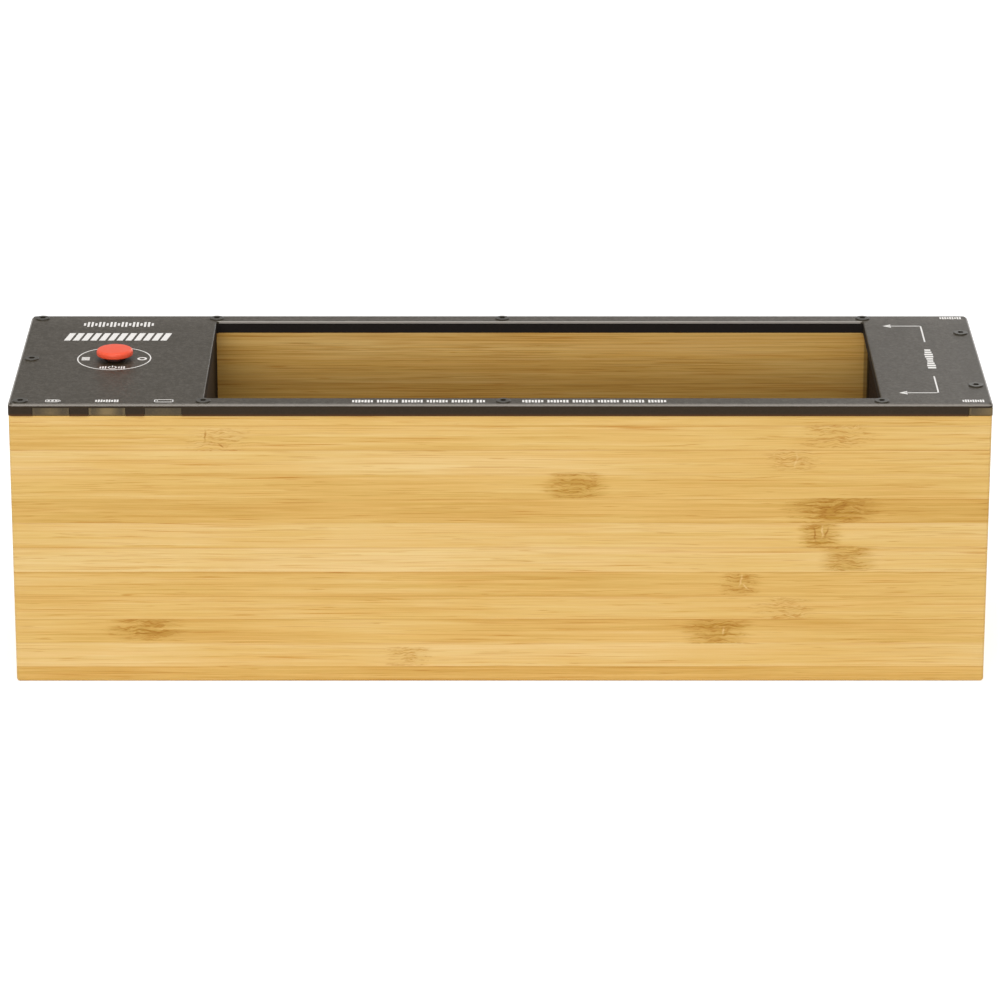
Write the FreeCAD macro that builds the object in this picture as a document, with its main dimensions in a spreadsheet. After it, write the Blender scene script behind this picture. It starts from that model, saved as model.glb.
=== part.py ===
import FreeCAD, Part
import math
import os
import re
import Sketcher
from FreeCAD import Placement, Rotation, Vector

# A bamboo box, open at the top, that a phone stands in while it must not listen.
# Its black top plate carries a push button, light windows and print; the bay at the left
# holds battery and electronics, the bay at the right two sound emitters behind a cloth.
# +X runs along the length to the right, +Y to the rear, +Z up.
# The origin is the middle of the underside. Millimetres.

doc = FreeCAD.newDocument("PhoneBox")
sizes = doc.addObject("Spreadsheet::Sheet", "Sizes")
driving = {
    # top plate and wooden case
    "plate_length": 250, "plate_depth": 76, "plate_thick": 3.2, "plate_round": 1.4, "plate_bevel": 0.5,
    "reveal": 0.15, "wall": 5, "wood_height": 72.2, "wood_round": 0.8, "base_thick": 5,
    # the slot, seen from above: solid plate left and right of it
    "left_bay": 49.5, "right_bay": 28.1, "slot_round": 0.8, "slot_bevel": 0.2, "slot_lip": 1.7,
    # inside of the cavity
    "partition_thick": 4.5, "floor_thick": 3, "mat_thick": 1.5, "cloth_thick": 0.5, "baffle_thick": 3,
    "batten_height": 4, "batten_width": 8, "duct_width": 36,
    # plate screws
    "screw_head": 3.8, "screw_shank": 2.2, "screw_length": 12, "screw_tip": 1.2, "screw_hole": 2.5,
    "head_rise": 0.3, "head_round": 0.2, "hex_width": 1.5, "hex_deep": 0.9, "pilot_spare": 0.6,
    "screw_inset": 3.05, "middle_screw_shift": 0.7, "right_screw_spread": 22.4,
    # clearances
    "fit_gap": 0.1, "pilot_gap": 0.05, "running_gap": 0.06, "part_gap": 0.3,
    # light windows in the plate's edge
    "window_width": 9.3, "window_pitch": 14.25, "window_inset": 25.2, "window_thick": 2,
    "notch_deep": 2.2, "window_set_back": 0.1, "corner_window": 5.9, "leg_thick": 3.4, "corner_leg": 5.8,
    # push button and its switch
    "button_inset": 24.7, "cap_diameter": 9.5, "cap_height": 1.8, "cap_clear": 0.4, "cap_round": 0.7,
    "cap_socket": 1.2, "plunger_diameter": 4.4, "button_hole": 5.6, "flange_width": 5.6,
    "flange_thick": 1.2, "press_travel": 0.7, "switch_width": 8.5, "switch_height": 7.6,
    "switch_wall": 1, "switch_lid_thick": 1,
    "switch_bore": 6.2, "spring_diameter": 4.4, "spring_wire": 0.4, "spring_turns": 5,
    # boards
    "standoff_height": 10, "standoff_diameter": 5, "board_thick": 1.6, "board_margin": 0.8,
    "standoff_edge_x": 3.4, "standoff_edge_y": 9, "light_board_length": 14.6, "light_board_width": 5.8,
    "light_board_thick": 1, "light_width": 3, "light_depth": 2, "light_height": 1.4,
    "chip_width": 7, "chip_thick": 1, "amplifier_width": 5, "capacitor_diameter": 5, "capacitor_height": 7,
    "connector_width": 5, "connector_depth": 6, "connector_height": 4,
    # small pan head screws
    "pan_head": 3.2, "pan_height": 1.1, "pan_shank": 1.6, "pan_length": 4,
    # battery
    "battery_width": 28, "battery_end_gap": 7.7, "battery_height": 18, "battery_round": 2,
    "battery_side_gap": 1.5, "strap_width": 12, "strap_thick": 1, "strap_foot": 5.5,
    # charging socket
    "socket_height": 35, "bezel_length": 22, "bezel_height": 9, "bezel_thick": 0.8, "bezel_round": 2,
    "bezel_screw_spread": 8, "bezel_head": 3, "bezel_screw_length": 3.4, "port_width": 9, "port_height": 3.2,
    "port_shell": 0.35, "port_tongue": 0.7, "port_tongue_width": 6.6, "port_mouth": 0.4, "port_back": 1,
    "charge_board_side": 20, "charge_board_thick": 1.2, "charge_screw_spread": 7.4,
    # sound emitters
    "emitter_height": 42, "emitter_side_gap": 1.9, "emitter_middle_gap": 1.6, "emitter_flange": 1,
    "flange_rim": 3, "emitter_screw_inset": 2.4, "gasket_thick": 0.8, "basket_depth": 6,
    "basket_wall": 0.8, "basket_taper": 3.4, "basket_eye": 10, "cone_thick": 0.5, "cone_rim": 1.5,
    "cone_depth": 3.6, "dust_cap": 8, "dust_cap_rise": 1.1, "magnet_step": 0.6, "magnet_height": 6,
    "magnet_round": 0.6, "tab_width": 6, "tab_length": 5, "tab_thick": 1.5,
    # leads
    "lead_diameter": 1.6, "lead_clear": 5, "battery_lead_inset": 9, "charge_lead_side": 4,
}
for row, (name, number) in enumerate(driving.items(), start=1):
    sizes.set(f"A{row}", name)
    sizes.set(f"B{row}", str(number))
    sizes.setAlias(f"B{row}", name)
doc.recompute()


def full(text):
    """An expression in which each size's name is led by the sheet's."""
    def led(word):
        return "Sizes." + word.group() if word.group() in driving else word.group()
    return re.sub(r"[a-z_]+", led, text)


def value(text):
    number = sizes.evalExpression(full(text))
    return float(getattr(number, "Value", number))


def bind(thing, **expressions):
    for name, text in expressions.items():
        thing.setExpression(name, full(text))


def place(thing, x, y, z):
    for axis, text in zip("xyz", (x, y, z)):
        thing.setExpression(f"Placement.Base.{axis}", full(text))
    return thing


# ---- places that several pieces share, worked out from the sizes ----
half_length = "(plate_length / 2)"
half_depth = "(plate_depth / 2)"
wood_x = "(plate_length / 2 - reveal)"          # outer faces of the wood
wood_y = "(plate_depth / 2 - reveal)"
room_x = f"({wood_x} - wall)"                   # inner faces of the walls
room_y = f"({wood_y} - wall)"
top_z = "(wood_height + plate_thick)"
slot_left = f"(left_bay - {half_length})"
slot_right = f"({half_length} - right_bay)"
cloth_x = f"({slot_right} + slot_lip)"          # the wall that faces the phone's end
baffle_x = f"({cloth_x} + cloth_thick)"
gasket_x = f"({baffle_x} + baffle_thick)"
emitter_x = f"({gasket_x} + gasket_thick)"
partition_x = f"({slot_left} - partition_thick)"
floor_z = "(base_thick + batten_height)"        # underside of the cavity's floor
mat_z = f"({floor_z} + floor_thick)"
screw_x = f"({half_length} - screw_inset)"      # screws stand over the walls
screw_y = f"({wood_y} - wall / 2)"
button_x = f"(button_inset - {half_length})"
window_x = f"(window_inset - {half_length})"
notch_z = "(wood_height + notch_deep)"          # ceiling of the notches in the plate
leg_y = f"({room_y} - part_gap)"                # outer face of the windows' legs
leg_x = f"({room_x} - part_gap)"
board_z = "(wood_height - standoff_height)"     # upper face of the boards
leg_z = f"({board_z} + light_height + part_gap)"
board_left = f"(-{room_x} + board_margin)"
board_right = f"({partition_x} - board_margin)"
board_y = f"({room_y} - board_margin)"
battery_x = f"(-{room_x} + battery_side_gap + battery_width / 2)"
battery_y = f"({room_y} - battery_end_gap)"     # half the pack's length
light_board_x = f"({leg_x} - light_board_length)"
light_board_y = f"({leg_y} - light_board_width)"
charge_x = f"(-{room_x} + charge_board_thick)"  # inner face of the charging board
bezel_x = f"(-{wood_x} + bezel_thick)"
flange_side = f"({room_y} - emitter_side_gap - emitter_middle_gap / 2)"
emitter_y = f"(({flange_side} + emitter_middle_gap) / 2)"
emitter_bore = f"({flange_side} - 2 * flange_rim)"
emitter_screw_step = f"({flange_side} / 2 - emitter_screw_inset)"
basket_back = f"({emitter_bore} - 2 * basket_taper)"
flange_half = f"({flange_side} / 2)"
tab_drop = f"({flange_side} / 2 - tab_thick)"
front_screw_places = [f"-{screw_x}", slot_left, "middle_screw_shift", slot_right]
pilot_width = "screw_shank + 2 * pilot_gap"
pilot_depth = "screw_length - plate_thick + pilot_spare"
small_pilot_width = "pan_shank + 2 * pilot_gap"
small_hole_width = "pan_shank + 2 * fit_gap"


# ---- ways of building ----
def sketch_on(body, name, plane, offset="0"):
    sketch = body.newObject("Sketcher::SketchObject", name)
    support = next(plane_ for plane_ in body.Origin.OriginFeatures if plane_.Role == plane)
    sketch.AttachmentSupport = [(support, "")]
    sketch.MapMode = "FlatFace"
    sketch.setExpression("AttachmentOffset.Base.z", full(offset))
    return sketch


def pin_down(sketch, index, point, x, y):
    """Hold a point of a curve at X and Y of the sketch, both bound to sizes."""
    for kind, text in (("DistanceX", x), ("DistanceY", y)):
        held = sketch.addConstraint(Sketcher.Constraint(kind, -1, 1, index, point, value(text)))
        sketch.setExpression(f"Constraints[{held}]", full(text))


def outline(sketch, points):
    corners = [Vector(value(x), value(y), 0) for x, y in points]
    count = len(corners)
    first = sketch.GeometryCount
    for i in range(count):
        sketch.addGeometry(Part.LineSegment(corners[i], corners[(i + 1) % count]))
    for i in range(count):
        sketch.addConstraint(Sketcher.Constraint("Coincident", first + i, 2, first + (i + 1) % count, 1))
    for i, (x, y) in enumerate(points):
        pin_down(sketch, first + i, 1, x, y)


def rectangle(sketch, x0, x1, y0, y1):
    outline(sketch, [(x0, y0), (x1, y0), (x1, y1), (x0, y1)])


def circle(sketch, x, y, diameter):
    centre = Vector(value(x), value(y), 0)
    index = sketch.addGeometry(Part.Circle(centre, Vector(0, 0, 1), value(diameter) / 2))
    pin_down(sketch, index, 3, x, y)
    held = sketch.addConstraint(Sketcher.Constraint("Diameter", index, value(diameter)))
    sketch.setExpression(f"Constraints[{held}]", full(diameter))


def new_body(name):
    body = doc.addObject("PartDesign::Body", name)
    body.Label = name
    return body


def pad(body, sketch, length, reverse=False):
    feature = body.newObject("PartDesign::Pad", sketch.Name + "Pad")
    feature.Profile = sketch
    feature.Reversed = reverse
    bind(feature, Length=length)
    doc.recompute()
    return feature


def pocket(body, sketch, depth, reverse=False):
    before = body.Tip.Shape.Volume
    feature = body.newObject("PartDesign::Pocket", sketch.Name + "Cut")
    feature.Profile = sketch
    feature.Reversed = reverse
    bind(feature, Length=depth)
    doc.recompute()
    if not feature.Shape.Volume < before:
        raise RuntimeError(f"{feature.Name} cut nothing")
    return feature


def revolve(body, name, points):
    """Turn an outline of (radius, height) points about the Z axis."""
    sketch = sketch_on(body, name, "XZ_Plane")
    outline(sketch, points)
    feature = body.newObject("PartDesign::Revolution", name + "Turned")
    feature.Profile = sketch
    feature.ReferenceAxis = (sketch, ["V_Axis"])
    feature.Angle = 360
    doc.recompute()
    return feature


def dress(body, kind, radius, chosen):
    """Round or bevel the edges that the test picks."""
    base = body.Tip
    edges = [f"Edge{i}" for i, edge in enumerate(base.Shape.Edges, start=1) if chosen(edge)]
    feature = body.newObject("PartDesign::" + kind, f"{body.Name}{kind}{len(body.Group)}")
    feature.Base = (base, edges)
    bind(feature, **{"Radius" if kind == "Fillet" else "Size": radius})
    doc.recompute()
    return feature


def lies(edge, axis, place_):
    return all(abs(getattr(vertex, axis) - place_) < 1e-4 for vertex in edge.Vertexes)


def upright(edge):
    low, high = edge.BoundBox.ZMin, edge.BoundBox.ZMax
    return high - low > 1e-4 and edge.BoundBox.XLength < 1e-4 and edge.BoundBox.YLength < 1e-4


def block(name, x0, x1, y0, y1, z0, z1):
    """A plank or block between two corners."""
    body = new_body(name)
    sketch = sketch_on(body, name + "Plan", "XY_Plane", z0)
    rectangle(sketch, x0, x1, y0, y1)
    pad(body, sketch, f"({z1}) - ({z0})")
    return body


def drill(body, name, plane, face, centres, diameter, depth, reverse=False):
    sketch = sketch_on(body, name, plane, face)
    for x, y in centres:
        circle(sketch, x, y, diameter)
    return pocket(body, sketch, depth, reverse)


def hexagon(sketch, width):
    outline(sketch, [(f"{width} / sqrt(3) * cos({60 * i} deg)", f"{width} / sqrt(3) * sin({60 * i} deg)")
                     for i in range(6)])


def countersunk_screw(name, head, shank, length, tip):
    """Rim of the cone at Z 0, pointing down; the head's low crown stands above the rim."""
    body = new_body(name)
    under_head = f"({head} - {shank}) / 2"
    crown = f"head_rise * {head} / screw_head"
    revolve(body, name + "Half", [("0", crown), (f"{head} / 2", crown), (f"{head} / 2", "0"),
                                  (f"{shank} / 2", f"-{under_head}"), (f"{shank} / 2", f"{tip} - {length}"),
                                  ("0", f"-{length}")])
    dress(body, "Fillet", "head_round", lambda edge: lies(edge, "Z", value(crown)) and edge.Closed)
    socket = sketch_on(body, name + "Hex", "XY_Plane", crown)
    hexagon(socket, f"hex_width * {head} / screw_head")
    pocket(body, socket, f"hex_deep * {head} / screw_head")
    return body


def pan_screw():
    """Seat of the head at Z 0, pointing down."""
    body = new_body("pan_screw")
    revolve(body, "PanHalf", [("0", "-pan_length"), ("pan_shank / 2", "-pan_length"), ("pan_shank / 2", "0"),
                              ("pan_head / 2", "0"), ("pan_head / 2", "pan_height"), ("0", "pan_height")])
    dress(body, "Fillet", "pan_height / 3", lambda edge: lies(edge, "Z", value("pan_height")) and edge.Closed)
    socket = sketch_on(body, "PanHex", "XY_Plane", "pan_height")
    hexagon(socket, "hex_width")
    pocket(body, socket, "pan_height / 2")
    return body


def group(name, piece, places, way=Vector(0, 0, -1)):
    """Copies of one piece as separate solids of one node; the piece's -Z turns to the way given."""
    copies = []
    for i, (x, y, z) in enumerate(places, start=1):
        copy = doc.addObject("App::Link", f"{name}_{i}")
        copy.LinkedObject = piece
        copy.Placement = Placement(Vector(), Rotation(Vector(0, 0, -1), way))
        copies.append(place(copy, x, y, z))
    compound = doc.addObject("Part::Compound", name)
    compound.Label = name
    compound.Links = copies
    return compound


# ---- wooden case ----
def make_long_panel(name, side):
    """Front and rear panels run the whole length and cover the end panels."""
    faces = sorted((f"{side} * {wood_y}", f"{side} * {room_y}"), key=value)
    body = block(name, f"-{wood_x}", wood_x, faces[0], faces[1], "0", "wood_height")
    outer = value(f"{side} * {wood_y}")
    inner = value(f"{side} * {room_y}")
    top = value("wood_height")
    dress(body, "Fillet", "wood_round", lambda edge: lies(edge, "Y", outer) and not lies(edge, "Z", top)
          or lies(edge, "Z", 0) and not lies(edge, "Y", inner))
    drill(body, name + "Pilots", "XY_Plane", "wood_height",
          [(x, f"{side} * {screw_y}") for x in front_screw_places], pilot_width, pilot_depth)
    return body


def make_right_end():
    body = block("right_end_panel", room_x, wood_x, f"-{room_y}", room_y, "0", "wood_height")
    dress(body, "Fillet", "wood_round", lambda edge: lies(edge, "Z", 0) and lies(edge, "X", value(wood_x)))
    drill(body, "RightPilots", "XY_Plane", "wood_height",
          [(screw_x, "-right_screw_spread"), (screw_x, "right_screw_spread")], pilot_width, pilot_depth)
    return body


def make_left_end():
    body = block("left_end_panel", f"-{wood_x}", f"-{room_x}", f"-{room_y}", room_y, "0", "wood_height")
    outer = value(f"-{wood_x}")
    dress(body, "Fillet", "wood_round", lambda edge: lies(edge, "Z", 0) and lies(edge, "X", outer))
    drill(body, "LeftPilot", "XY_Plane", "wood_height", [(f"-{screw_x}", "0")], pilot_width, pilot_depth)
    recess = sketch_on(body, "BezelRecess", "YZ_Plane", f"-{wood_x}")
    rectangle(recess, "-bezel_length / 2 - fit_gap", "bezel_length / 2 + fit_gap",
              "socket_height - bezel_height / 2 - fit_gap", "socket_height + bezel_height / 2 + fit_gap")
    pocket(body, recess, "bezel_thick", reverse=True)
    dress(body, "Fillet", "bezel_round + fit_gap", lambda edge: edge.BoundBox.XLength > 1e-4
          and abs(abs(edge.BoundBox.YMin) - value("bezel_length / 2 + fit_gap")) < 1e-4
          and edge.BoundBox.YLength < 1e-4)
    port = sketch_on(body, "PortHole", "YZ_Plane", f"-{wood_x}")
    rectangle(port, "-port_width / 2 - part_gap", "port_width / 2 + part_gap",
              "socket_height - port_height / 2 - part_gap", "socket_height + port_height / 2 + part_gap")
    pocket(body, port, "wall", reverse=True)
    drill(body, "BezelPilots", "YZ_Plane", bezel_x,
          [("-bezel_screw_spread", "socket_height"), ("bezel_screw_spread", "socket_height")],
          small_pilot_width, "bezel_screw_length - bezel_thick + pilot_spare", reverse=True)
    drill(body, "ChargePilots", "YZ_Plane", f"-{room_x}", charge_screw_centres,
          small_pilot_width, "pan_length - charge_board_thick + pilot_spare")
    return body


charge_screw_centres = [("-charge_screw_spread", "socket_height - charge_screw_spread"),
                        ("charge_screw_spread", "socket_height + charge_screw_spread")]
strap_screw_y = f"({battery_y} + strap_thick + fit_gap + strap_foot / 2)"

front_panel = make_long_panel("front_panel", -1)
rear_panel = make_long_panel("rear_panel", 1)
left_end_panel = make_left_end()
right_end_panel = make_right_end()

base_panel = block("base_panel", f"-{room_x}", room_x, f"-{room_y}", room_y, "0", "base_thick")
drill(base_panel, "StrapPilots", "XY_Plane", "base_thick",
      [(battery_x, f"-{strap_screw_y}"), (battery_x, strap_screw_y)],
      small_pilot_width, "pan_length - strap_thick + pilot_spare")


def open_duct(body, name, x, thick, height):
    """The notch at the foot of a cross wall through which the leads run."""
    sketch = sketch_on(body, name, "YZ_Plane", x)
    rectangle(sketch, "-duct_width / 2", "duct_width / 2", "base_thick", f"base_thick + {height}")
    return pocket(body, sketch, thick, reverse=True)


left_partition = block("left_partition", partition_x, slot_left, f"-{room_y}", room_y,
                       "base_thick", "wood_height")
open_duct(left_partition, "PartitionDuct", partition_x, "partition_thick", "batten_height")

emitter_baffle = block("emitter_baffle", baffle_x, gasket_x, f"-{room_y}", room_y,
                       "base_thick", "wood_height")
open_duct(emitter_baffle, "BaffleDuct", baffle_x, "baffle_thick", "2 * batten_height")
emitter_centres = [(f"{side} * {emitter_y}", "emitter_height") for side in (-1, 1)]
emitter_screws_yz = [(f"{side} * {emitter_y} + {a} * {emitter_screw_step}",
                      f"emitter_height + {b} * {emitter_screw_step}")
                     for side in (-1, 1) for a in (-1, 1) for b in (-1, 1)]
drill(emitter_baffle, "BaffleBores", "YZ_Plane", gasket_x, emitter_centres, emitter_bore, "baffle_thick")
drill(emitter_baffle, "BafflePilots", "YZ_Plane", gasket_x, emitter_screws_yz,
      small_pilot_width, "baffle_thick")

floor_board = block("floor_board", slot_left, baffle_x, f"-{room_y}", room_y, floor_z, mat_z)
front_batten = block("front_batten", slot_left, baffle_x, f"-{room_y}", f"-{room_y} + batten_width",
                     "base_thick", floor_z)
rear_batten = block("rear_batten", slot_left, baffle_x, f"{room_y} - batten_width", room_y,
                    "base_thick", floor_z)
phone_mat = block("phone_mat", slot_left, cloth_x, f"-{room_y}", room_y, mat_z, f"{mat_z} + mat_thick")
emitter_cloth = block("emitter_cloth", cloth_x, baffle_x, f"-{room_y}", room_y, mat_z, "wood_height")


# ---- light windows ----
def corner_band(side, grow, past):
    """The band from the plate's corner in over the wall to the window's leg, side -1 at the front."""
    out_x = f"{half_length} - window_set_back"
    out_y = f"({half_depth} - window_set_back)"
    points = [(f"{out_x} - corner_window - {grow}", f"{out_y} + {past}"),
              (f"{out_x} + {past}", f"{out_y} + {past}"),
              (f"{out_x} + {past}", f"{out_y} - corner_window - {grow}"),
              (f"{leg_x} + {grow}", f"{leg_y} - corner_leg - {grow}"),
              (f"{leg_x} - corner_leg - {grow}", f"{leg_y} - corner_leg - {grow}"),
              (f"{leg_x} - corner_leg - {grow}", f"{leg_y} + {grow}")]
    return [(x, f"{side} * ({y})") for x, y in points]


def make_corner_window(name, side):
    body = new_body(name)
    band = sketch_on(body, name + "Band", "XY_Plane", f"{notch_z} - window_thick")
    outline(band, corner_band(side, "0", "0"))
    pad(body, band, "window_thick")
    leg = sketch_on(body, name + "Leg", "XY_Plane", leg_z)
    outline(leg, [(leg_x, f"{side} * {leg_y}"), (leg_x, f"{side} * ({leg_y} - corner_leg)"),
                  (f"{leg_x} - corner_leg", f"{side} * ({leg_y} - corner_leg)"),
                  (f"{leg_x} - corner_leg", f"{side} * {leg_y}")])
    pad(body, leg, f"{notch_z} - window_thick - {leg_z}")
    return body


def make_front_window(name, centre):
    """A tongue that shows in the plate's edge and a leg that reaches down to its light."""
    body = new_body(name)
    sketch = sketch_on(body, name + "Side", "YZ_Plane", f"{centre} - window_width / 2")
    inner = f"leg_thick - {leg_y}"
    tongue = f"{notch_z} - window_thick"
    outer = f"window_set_back - {half_depth}"
    outline(sketch, [(outer, tongue), (f"-{leg_y}", tongue), (f"-{leg_y}", leg_z), (inner, leg_z),
                     (inner, notch_z), (outer, notch_z)])
    pad(body, sketch, "window_width")
    return body


window_places = {"battery_window": f"({window_x} - window_pitch)", "active_window": window_x,
                 "in_use_window": f"({window_x} + window_pitch)"}
for window, centre in window_places.items():
    make_front_window(window, centre)
make_corner_window("front_corner_window", -1)
make_corner_window("rear_corner_window", 1)


# ---- top plate ----
def make_plate():
    body = new_body("top_plate")
    plan = sketch_on(body, "PlatePlan", "XY_Plane", "wood_height")
    rectangle(plan, f"-{half_length}", half_length, f"-{half_depth}", half_depth)
    pad(body, plan, "plate_thick")
    dress(body, "Fillet", "plate_round", upright)
    dress(body, "Chamfer", "plate_bevel", lambda edge: lies(edge, "Z", value(top_z)))
    slot = sketch_on(body, "Slot", "XY_Plane", top_z)
    rectangle(slot, slot_left, slot_right, f"-{room_y}", room_y)
    pocket(body, slot, "plate_thick")
    slot_y = value(room_y) + 1e-4
    dress(body, "Fillet", "slot_round", lambda edge: upright(edge) and abs(edge.BoundBox.YMin) < slot_y)
    dress(body, "Chamfer", "slot_bevel", lambda edge: lies(edge, "Z", value(top_z))
          and max(abs(edge.BoundBox.YMin), abs(edge.BoundBox.YMax)) < slot_y)
    drill(body, "ButtonHole", "XY_Plane", top_z, [(button_x, "0")], "button_hole", "plate_thick")
    holes = sketch_on(body, "ScrewCentres", "XY_Plane", top_z)
    for x, y in plate_screw_centres:
        circle(holes, x, y, "screw_hole")
    before = body.Tip.Shape.Volume
    hole = body.newObject("PartDesign::Hole", "ScrewHoles")
    hole.Profile = holes
    doc.recompute()
    hole.ThreadType = "None"
    hole.DepthType = "ThroughAll"
    hole.HoleCutType = "Countersink"
    hole.HoleCutCountersinkAngle = 90
    bind(hole, Diameter="screw_hole", HoleCutDiameter="screw_head")
    doc.recompute()
    if not hole.Shape.Volume < before:
        raise RuntimeError("the screw holes cut nothing")
    notches = sketch_on(body, "WindowNotches", "XY_Plane", "wood_height")
    for centre in window_places.values():
        rectangle(notches, f"{centre} - window_width / 2 - fit_gap", f"{centre} + window_width / 2 + fit_gap",
                  f"-{half_depth} - reveal", f"leg_thick + fit_gap - {leg_y}")
    for side in (-1, 1):
        outline(notches, corner_band(side, "fit_gap", "(window_set_back + reveal)"))
    pocket(body, notches, "notch_deep", reverse=True)
    return body


plate_screw_centres = [(x, f"{side} * {screw_y}") for side in (-1, 1) for x in front_screw_places]
plate_screw_centres += [(f"-{screw_x}", "0"), (screw_x, "-right_screw_spread"),
                        (screw_x, "right_screw_spread")]
top_plate = make_plate()
plate_screw = countersunk_screw("plate_screw", "screw_head", "screw_shank", "screw_length", "screw_tip")
plate_screws = group("plate_screws", plate_screw,
                     [(x, y, top_z) for x, y in plate_screw_centres])


# ---- push button and switch ----
cap_z = f"({top_z} + press_travel + cap_clear)"
lid_z = f"({board_z} + switch_height - switch_lid_thick)"   # underside of the switch's lid
flange_top = f"({lid_z} - running_gap)"


def make_cap():
    body = new_body("button_cap")
    revolve(body, "CapHalf", [("0", "cap_socket"), ("plunger_diameter / 2", "cap_socket"),
                              ("plunger_diameter / 2", "0"), ("cap_diameter / 2", "0"),
                              ("cap_diameter / 2", "cap_height"), ("0", "cap_height")])
    rim = value("cap_diameter / 2")
    dress(body, "Fillet", "cap_round", lambda edge: edge.Closed and lies(edge, "Z", value("cap_height"))
          and abs(edge.BoundBox.XMax - rim) < 1e-2)
    return place(body, button_x, "0", cap_z)


def make_plunger():
    """Stem through the plate's hole, with the flange that the lid holds back."""
    body = new_body("button_plunger")
    stem_top = f"{cap_z} + cap_socket - {flange_top}"
    revolve(body, "PlungerHalf", [("0", "-flange_thick"), ("flange_width / 2", "-flange_thick"),
                                  ("flange_width / 2", "0"), ("plunger_diameter / 2", "0"),
                                  ("plunger_diameter / 2", stem_top), ("0", stem_top)])
    return place(body, button_x, "0", flange_top)


def make_spring():
    body = new_body("button_spring")
    wire = sketch_on(body, "SpringWire", "XZ_Plane")
    circle(wire, "(spring_diameter - spring_wire) / 2", "spring_wire / 2", "spring_wire")
    coil = body.newObject("PartDesign::AdditiveHelix", "SpringCoil")
    coil.Profile = wire
    coil.ReferenceAxis = (wire, ["V_Axis"])
    coil.Mode = "height-turns-angle"
    doc.recompute()
    bind(coil, Height=f"{flange_top} - flange_thick - {spring_z} - spring_wire", Turns="spring_turns")
    doc.recompute()
    return place(body, button_x, "0", spring_z)


spring_z = f"({board_z} + switch_wall)"
button_cap = make_cap()
button_plunger = make_plunger()
button_spring = make_spring()
switch_housing = block("switch_housing", f"{button_x} - switch_width / 2", f"{button_x} + switch_width / 2",
                       "-switch_width / 2", "switch_width / 2", board_z, lid_z)
drill(switch_housing, "SwitchBore", "XY_Plane", lid_z, [(button_x, "0")], "switch_bore",
      f"{lid_z} - {board_z} - switch_wall")
switch_lid = block("switch_lid", f"{button_x} - switch_width / 2", f"{button_x} + switch_width / 2",
                   "-switch_width / 2", "switch_width / 2", lid_z, f"{lid_z} + switch_lid_thick")
drill(switch_lid, "LidBore", "XY_Plane", f"{lid_z} + switch_lid_thick", [(button_x, "0")],
      "plunger_diameter + 2 * running_gap", "switch_lid_thick")


# ---- boards, their standoffs, screws and parts ----
standoff_left = f"({board_left} + standoff_edge_x)"
standoff_right = f"({board_right} - standoff_edge_x)"
standoff_y = f"({board_y} - standoff_edge_y)"
main_standoffs = [(x, y) for x in (standoff_left, standoff_right) for y in (f"-{standoff_y}", standoff_y)]
light_standoffs = [(f"{light_board_x} + light_board_width / 2", f"{side} * ({leg_y} - light_board_width / 2)")
                   for side in (-1, 1)]

main_board = block("main_board", board_left, board_right, f"-{board_y}", board_y,
                   f"{board_z} - board_thick", board_z)
drill(main_board, "BoardHoles", "XY_Plane", board_z, main_standoffs, small_hole_width, "board_thick")


def make_light_board(name, side, standoff):
    edges = sorted((f"{side} * {leg_y}", f"{side} * {light_board_y}"), key=value)
    body = block(name, light_board_x, leg_x, edges[0], edges[1], f"{board_z} - light_board_thick", board_z)
    drill(body, name + "Hole", "XY_Plane", board_z, [standoff], small_hole_width, "light_board_thick")
    return body


front_light_board = make_light_board("front_light_board", -1, light_standoffs[0])
rear_light_board = make_light_board("rear_light_board", 1, light_standoffs[1])

standoff = new_body("standoff")
standoff_plan = sketch_on(standoff, "StandoffPlan", "XY_Plane")
circle(standoff_plan, "0", "0", "standoff_diameter")
pad(standoff, standoff_plan, "standoff_height")
drill(standoff, "StandoffBore", "XY_Plane", "0", [("0", "0")], small_pilot_width,
      "pan_length", reverse=True)
standoffs = group("standoffs", standoff, [(x, y, board_z) for x, y in main_standoffs + light_standoffs])

pan = pan_screw()
board_screws = group("board_screws", pan,
                     [(x, y, f"{board_z} - board_thick") for x, y in main_standoffs]
                     + [(x, y, f"{board_z} - light_board_thick") for x, y in light_standoffs],
                     Vector(0, 0, 1))


def make_light(name, x, y):
    return block(name, f"{x} - light_width / 2", f"{x} + light_width / 2", f"{y} - light_depth / 2",
                 f"{y} + light_depth / 2", board_z, f"{board_z} + light_height")


light_y = f"(leg_thick - {leg_y} - light_depth / 2 - part_gap)"
for window, centre in window_places.items():
    make_light(window.replace("window", "light"), centre, light_y)
make_light("front_corner_light", f"({leg_x} - corner_leg / 2)", f"(-({leg_y} - corner_leg / 2))")
make_light("rear_corner_light", f"({leg_x} - corner_leg / 2)", f"({leg_y} - corner_leg / 2)")

left_of_switch = f"(({board_left} + {button_x} - switch_width / 2) / 2)"
right_of_switch = f"(({board_right} + {button_x} + switch_width / 2) / 2)"
part_row = "(switch_width / 2 + chip_width)"    # how far the chips stand in front of and behind the switch
controller_chip = block("controller_chip", f"{left_of_switch} - chip_width / 2",
                        f"{left_of_switch} + chip_width / 2",
                        f"{part_row} - chip_width / 2", f"{part_row} + chip_width / 2",
                        board_z, f"{board_z} + chip_thick")
amplifier_chip = block("amplifier_chip", f"{right_of_switch} - amplifier_width / 2",
                       f"{right_of_switch} + amplifier_width / 2", f"-{part_row} - amplifier_width / 2",
                       f"-{part_row} + amplifier_width / 2", board_z, f"{board_z} + chip_thick")

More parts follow.
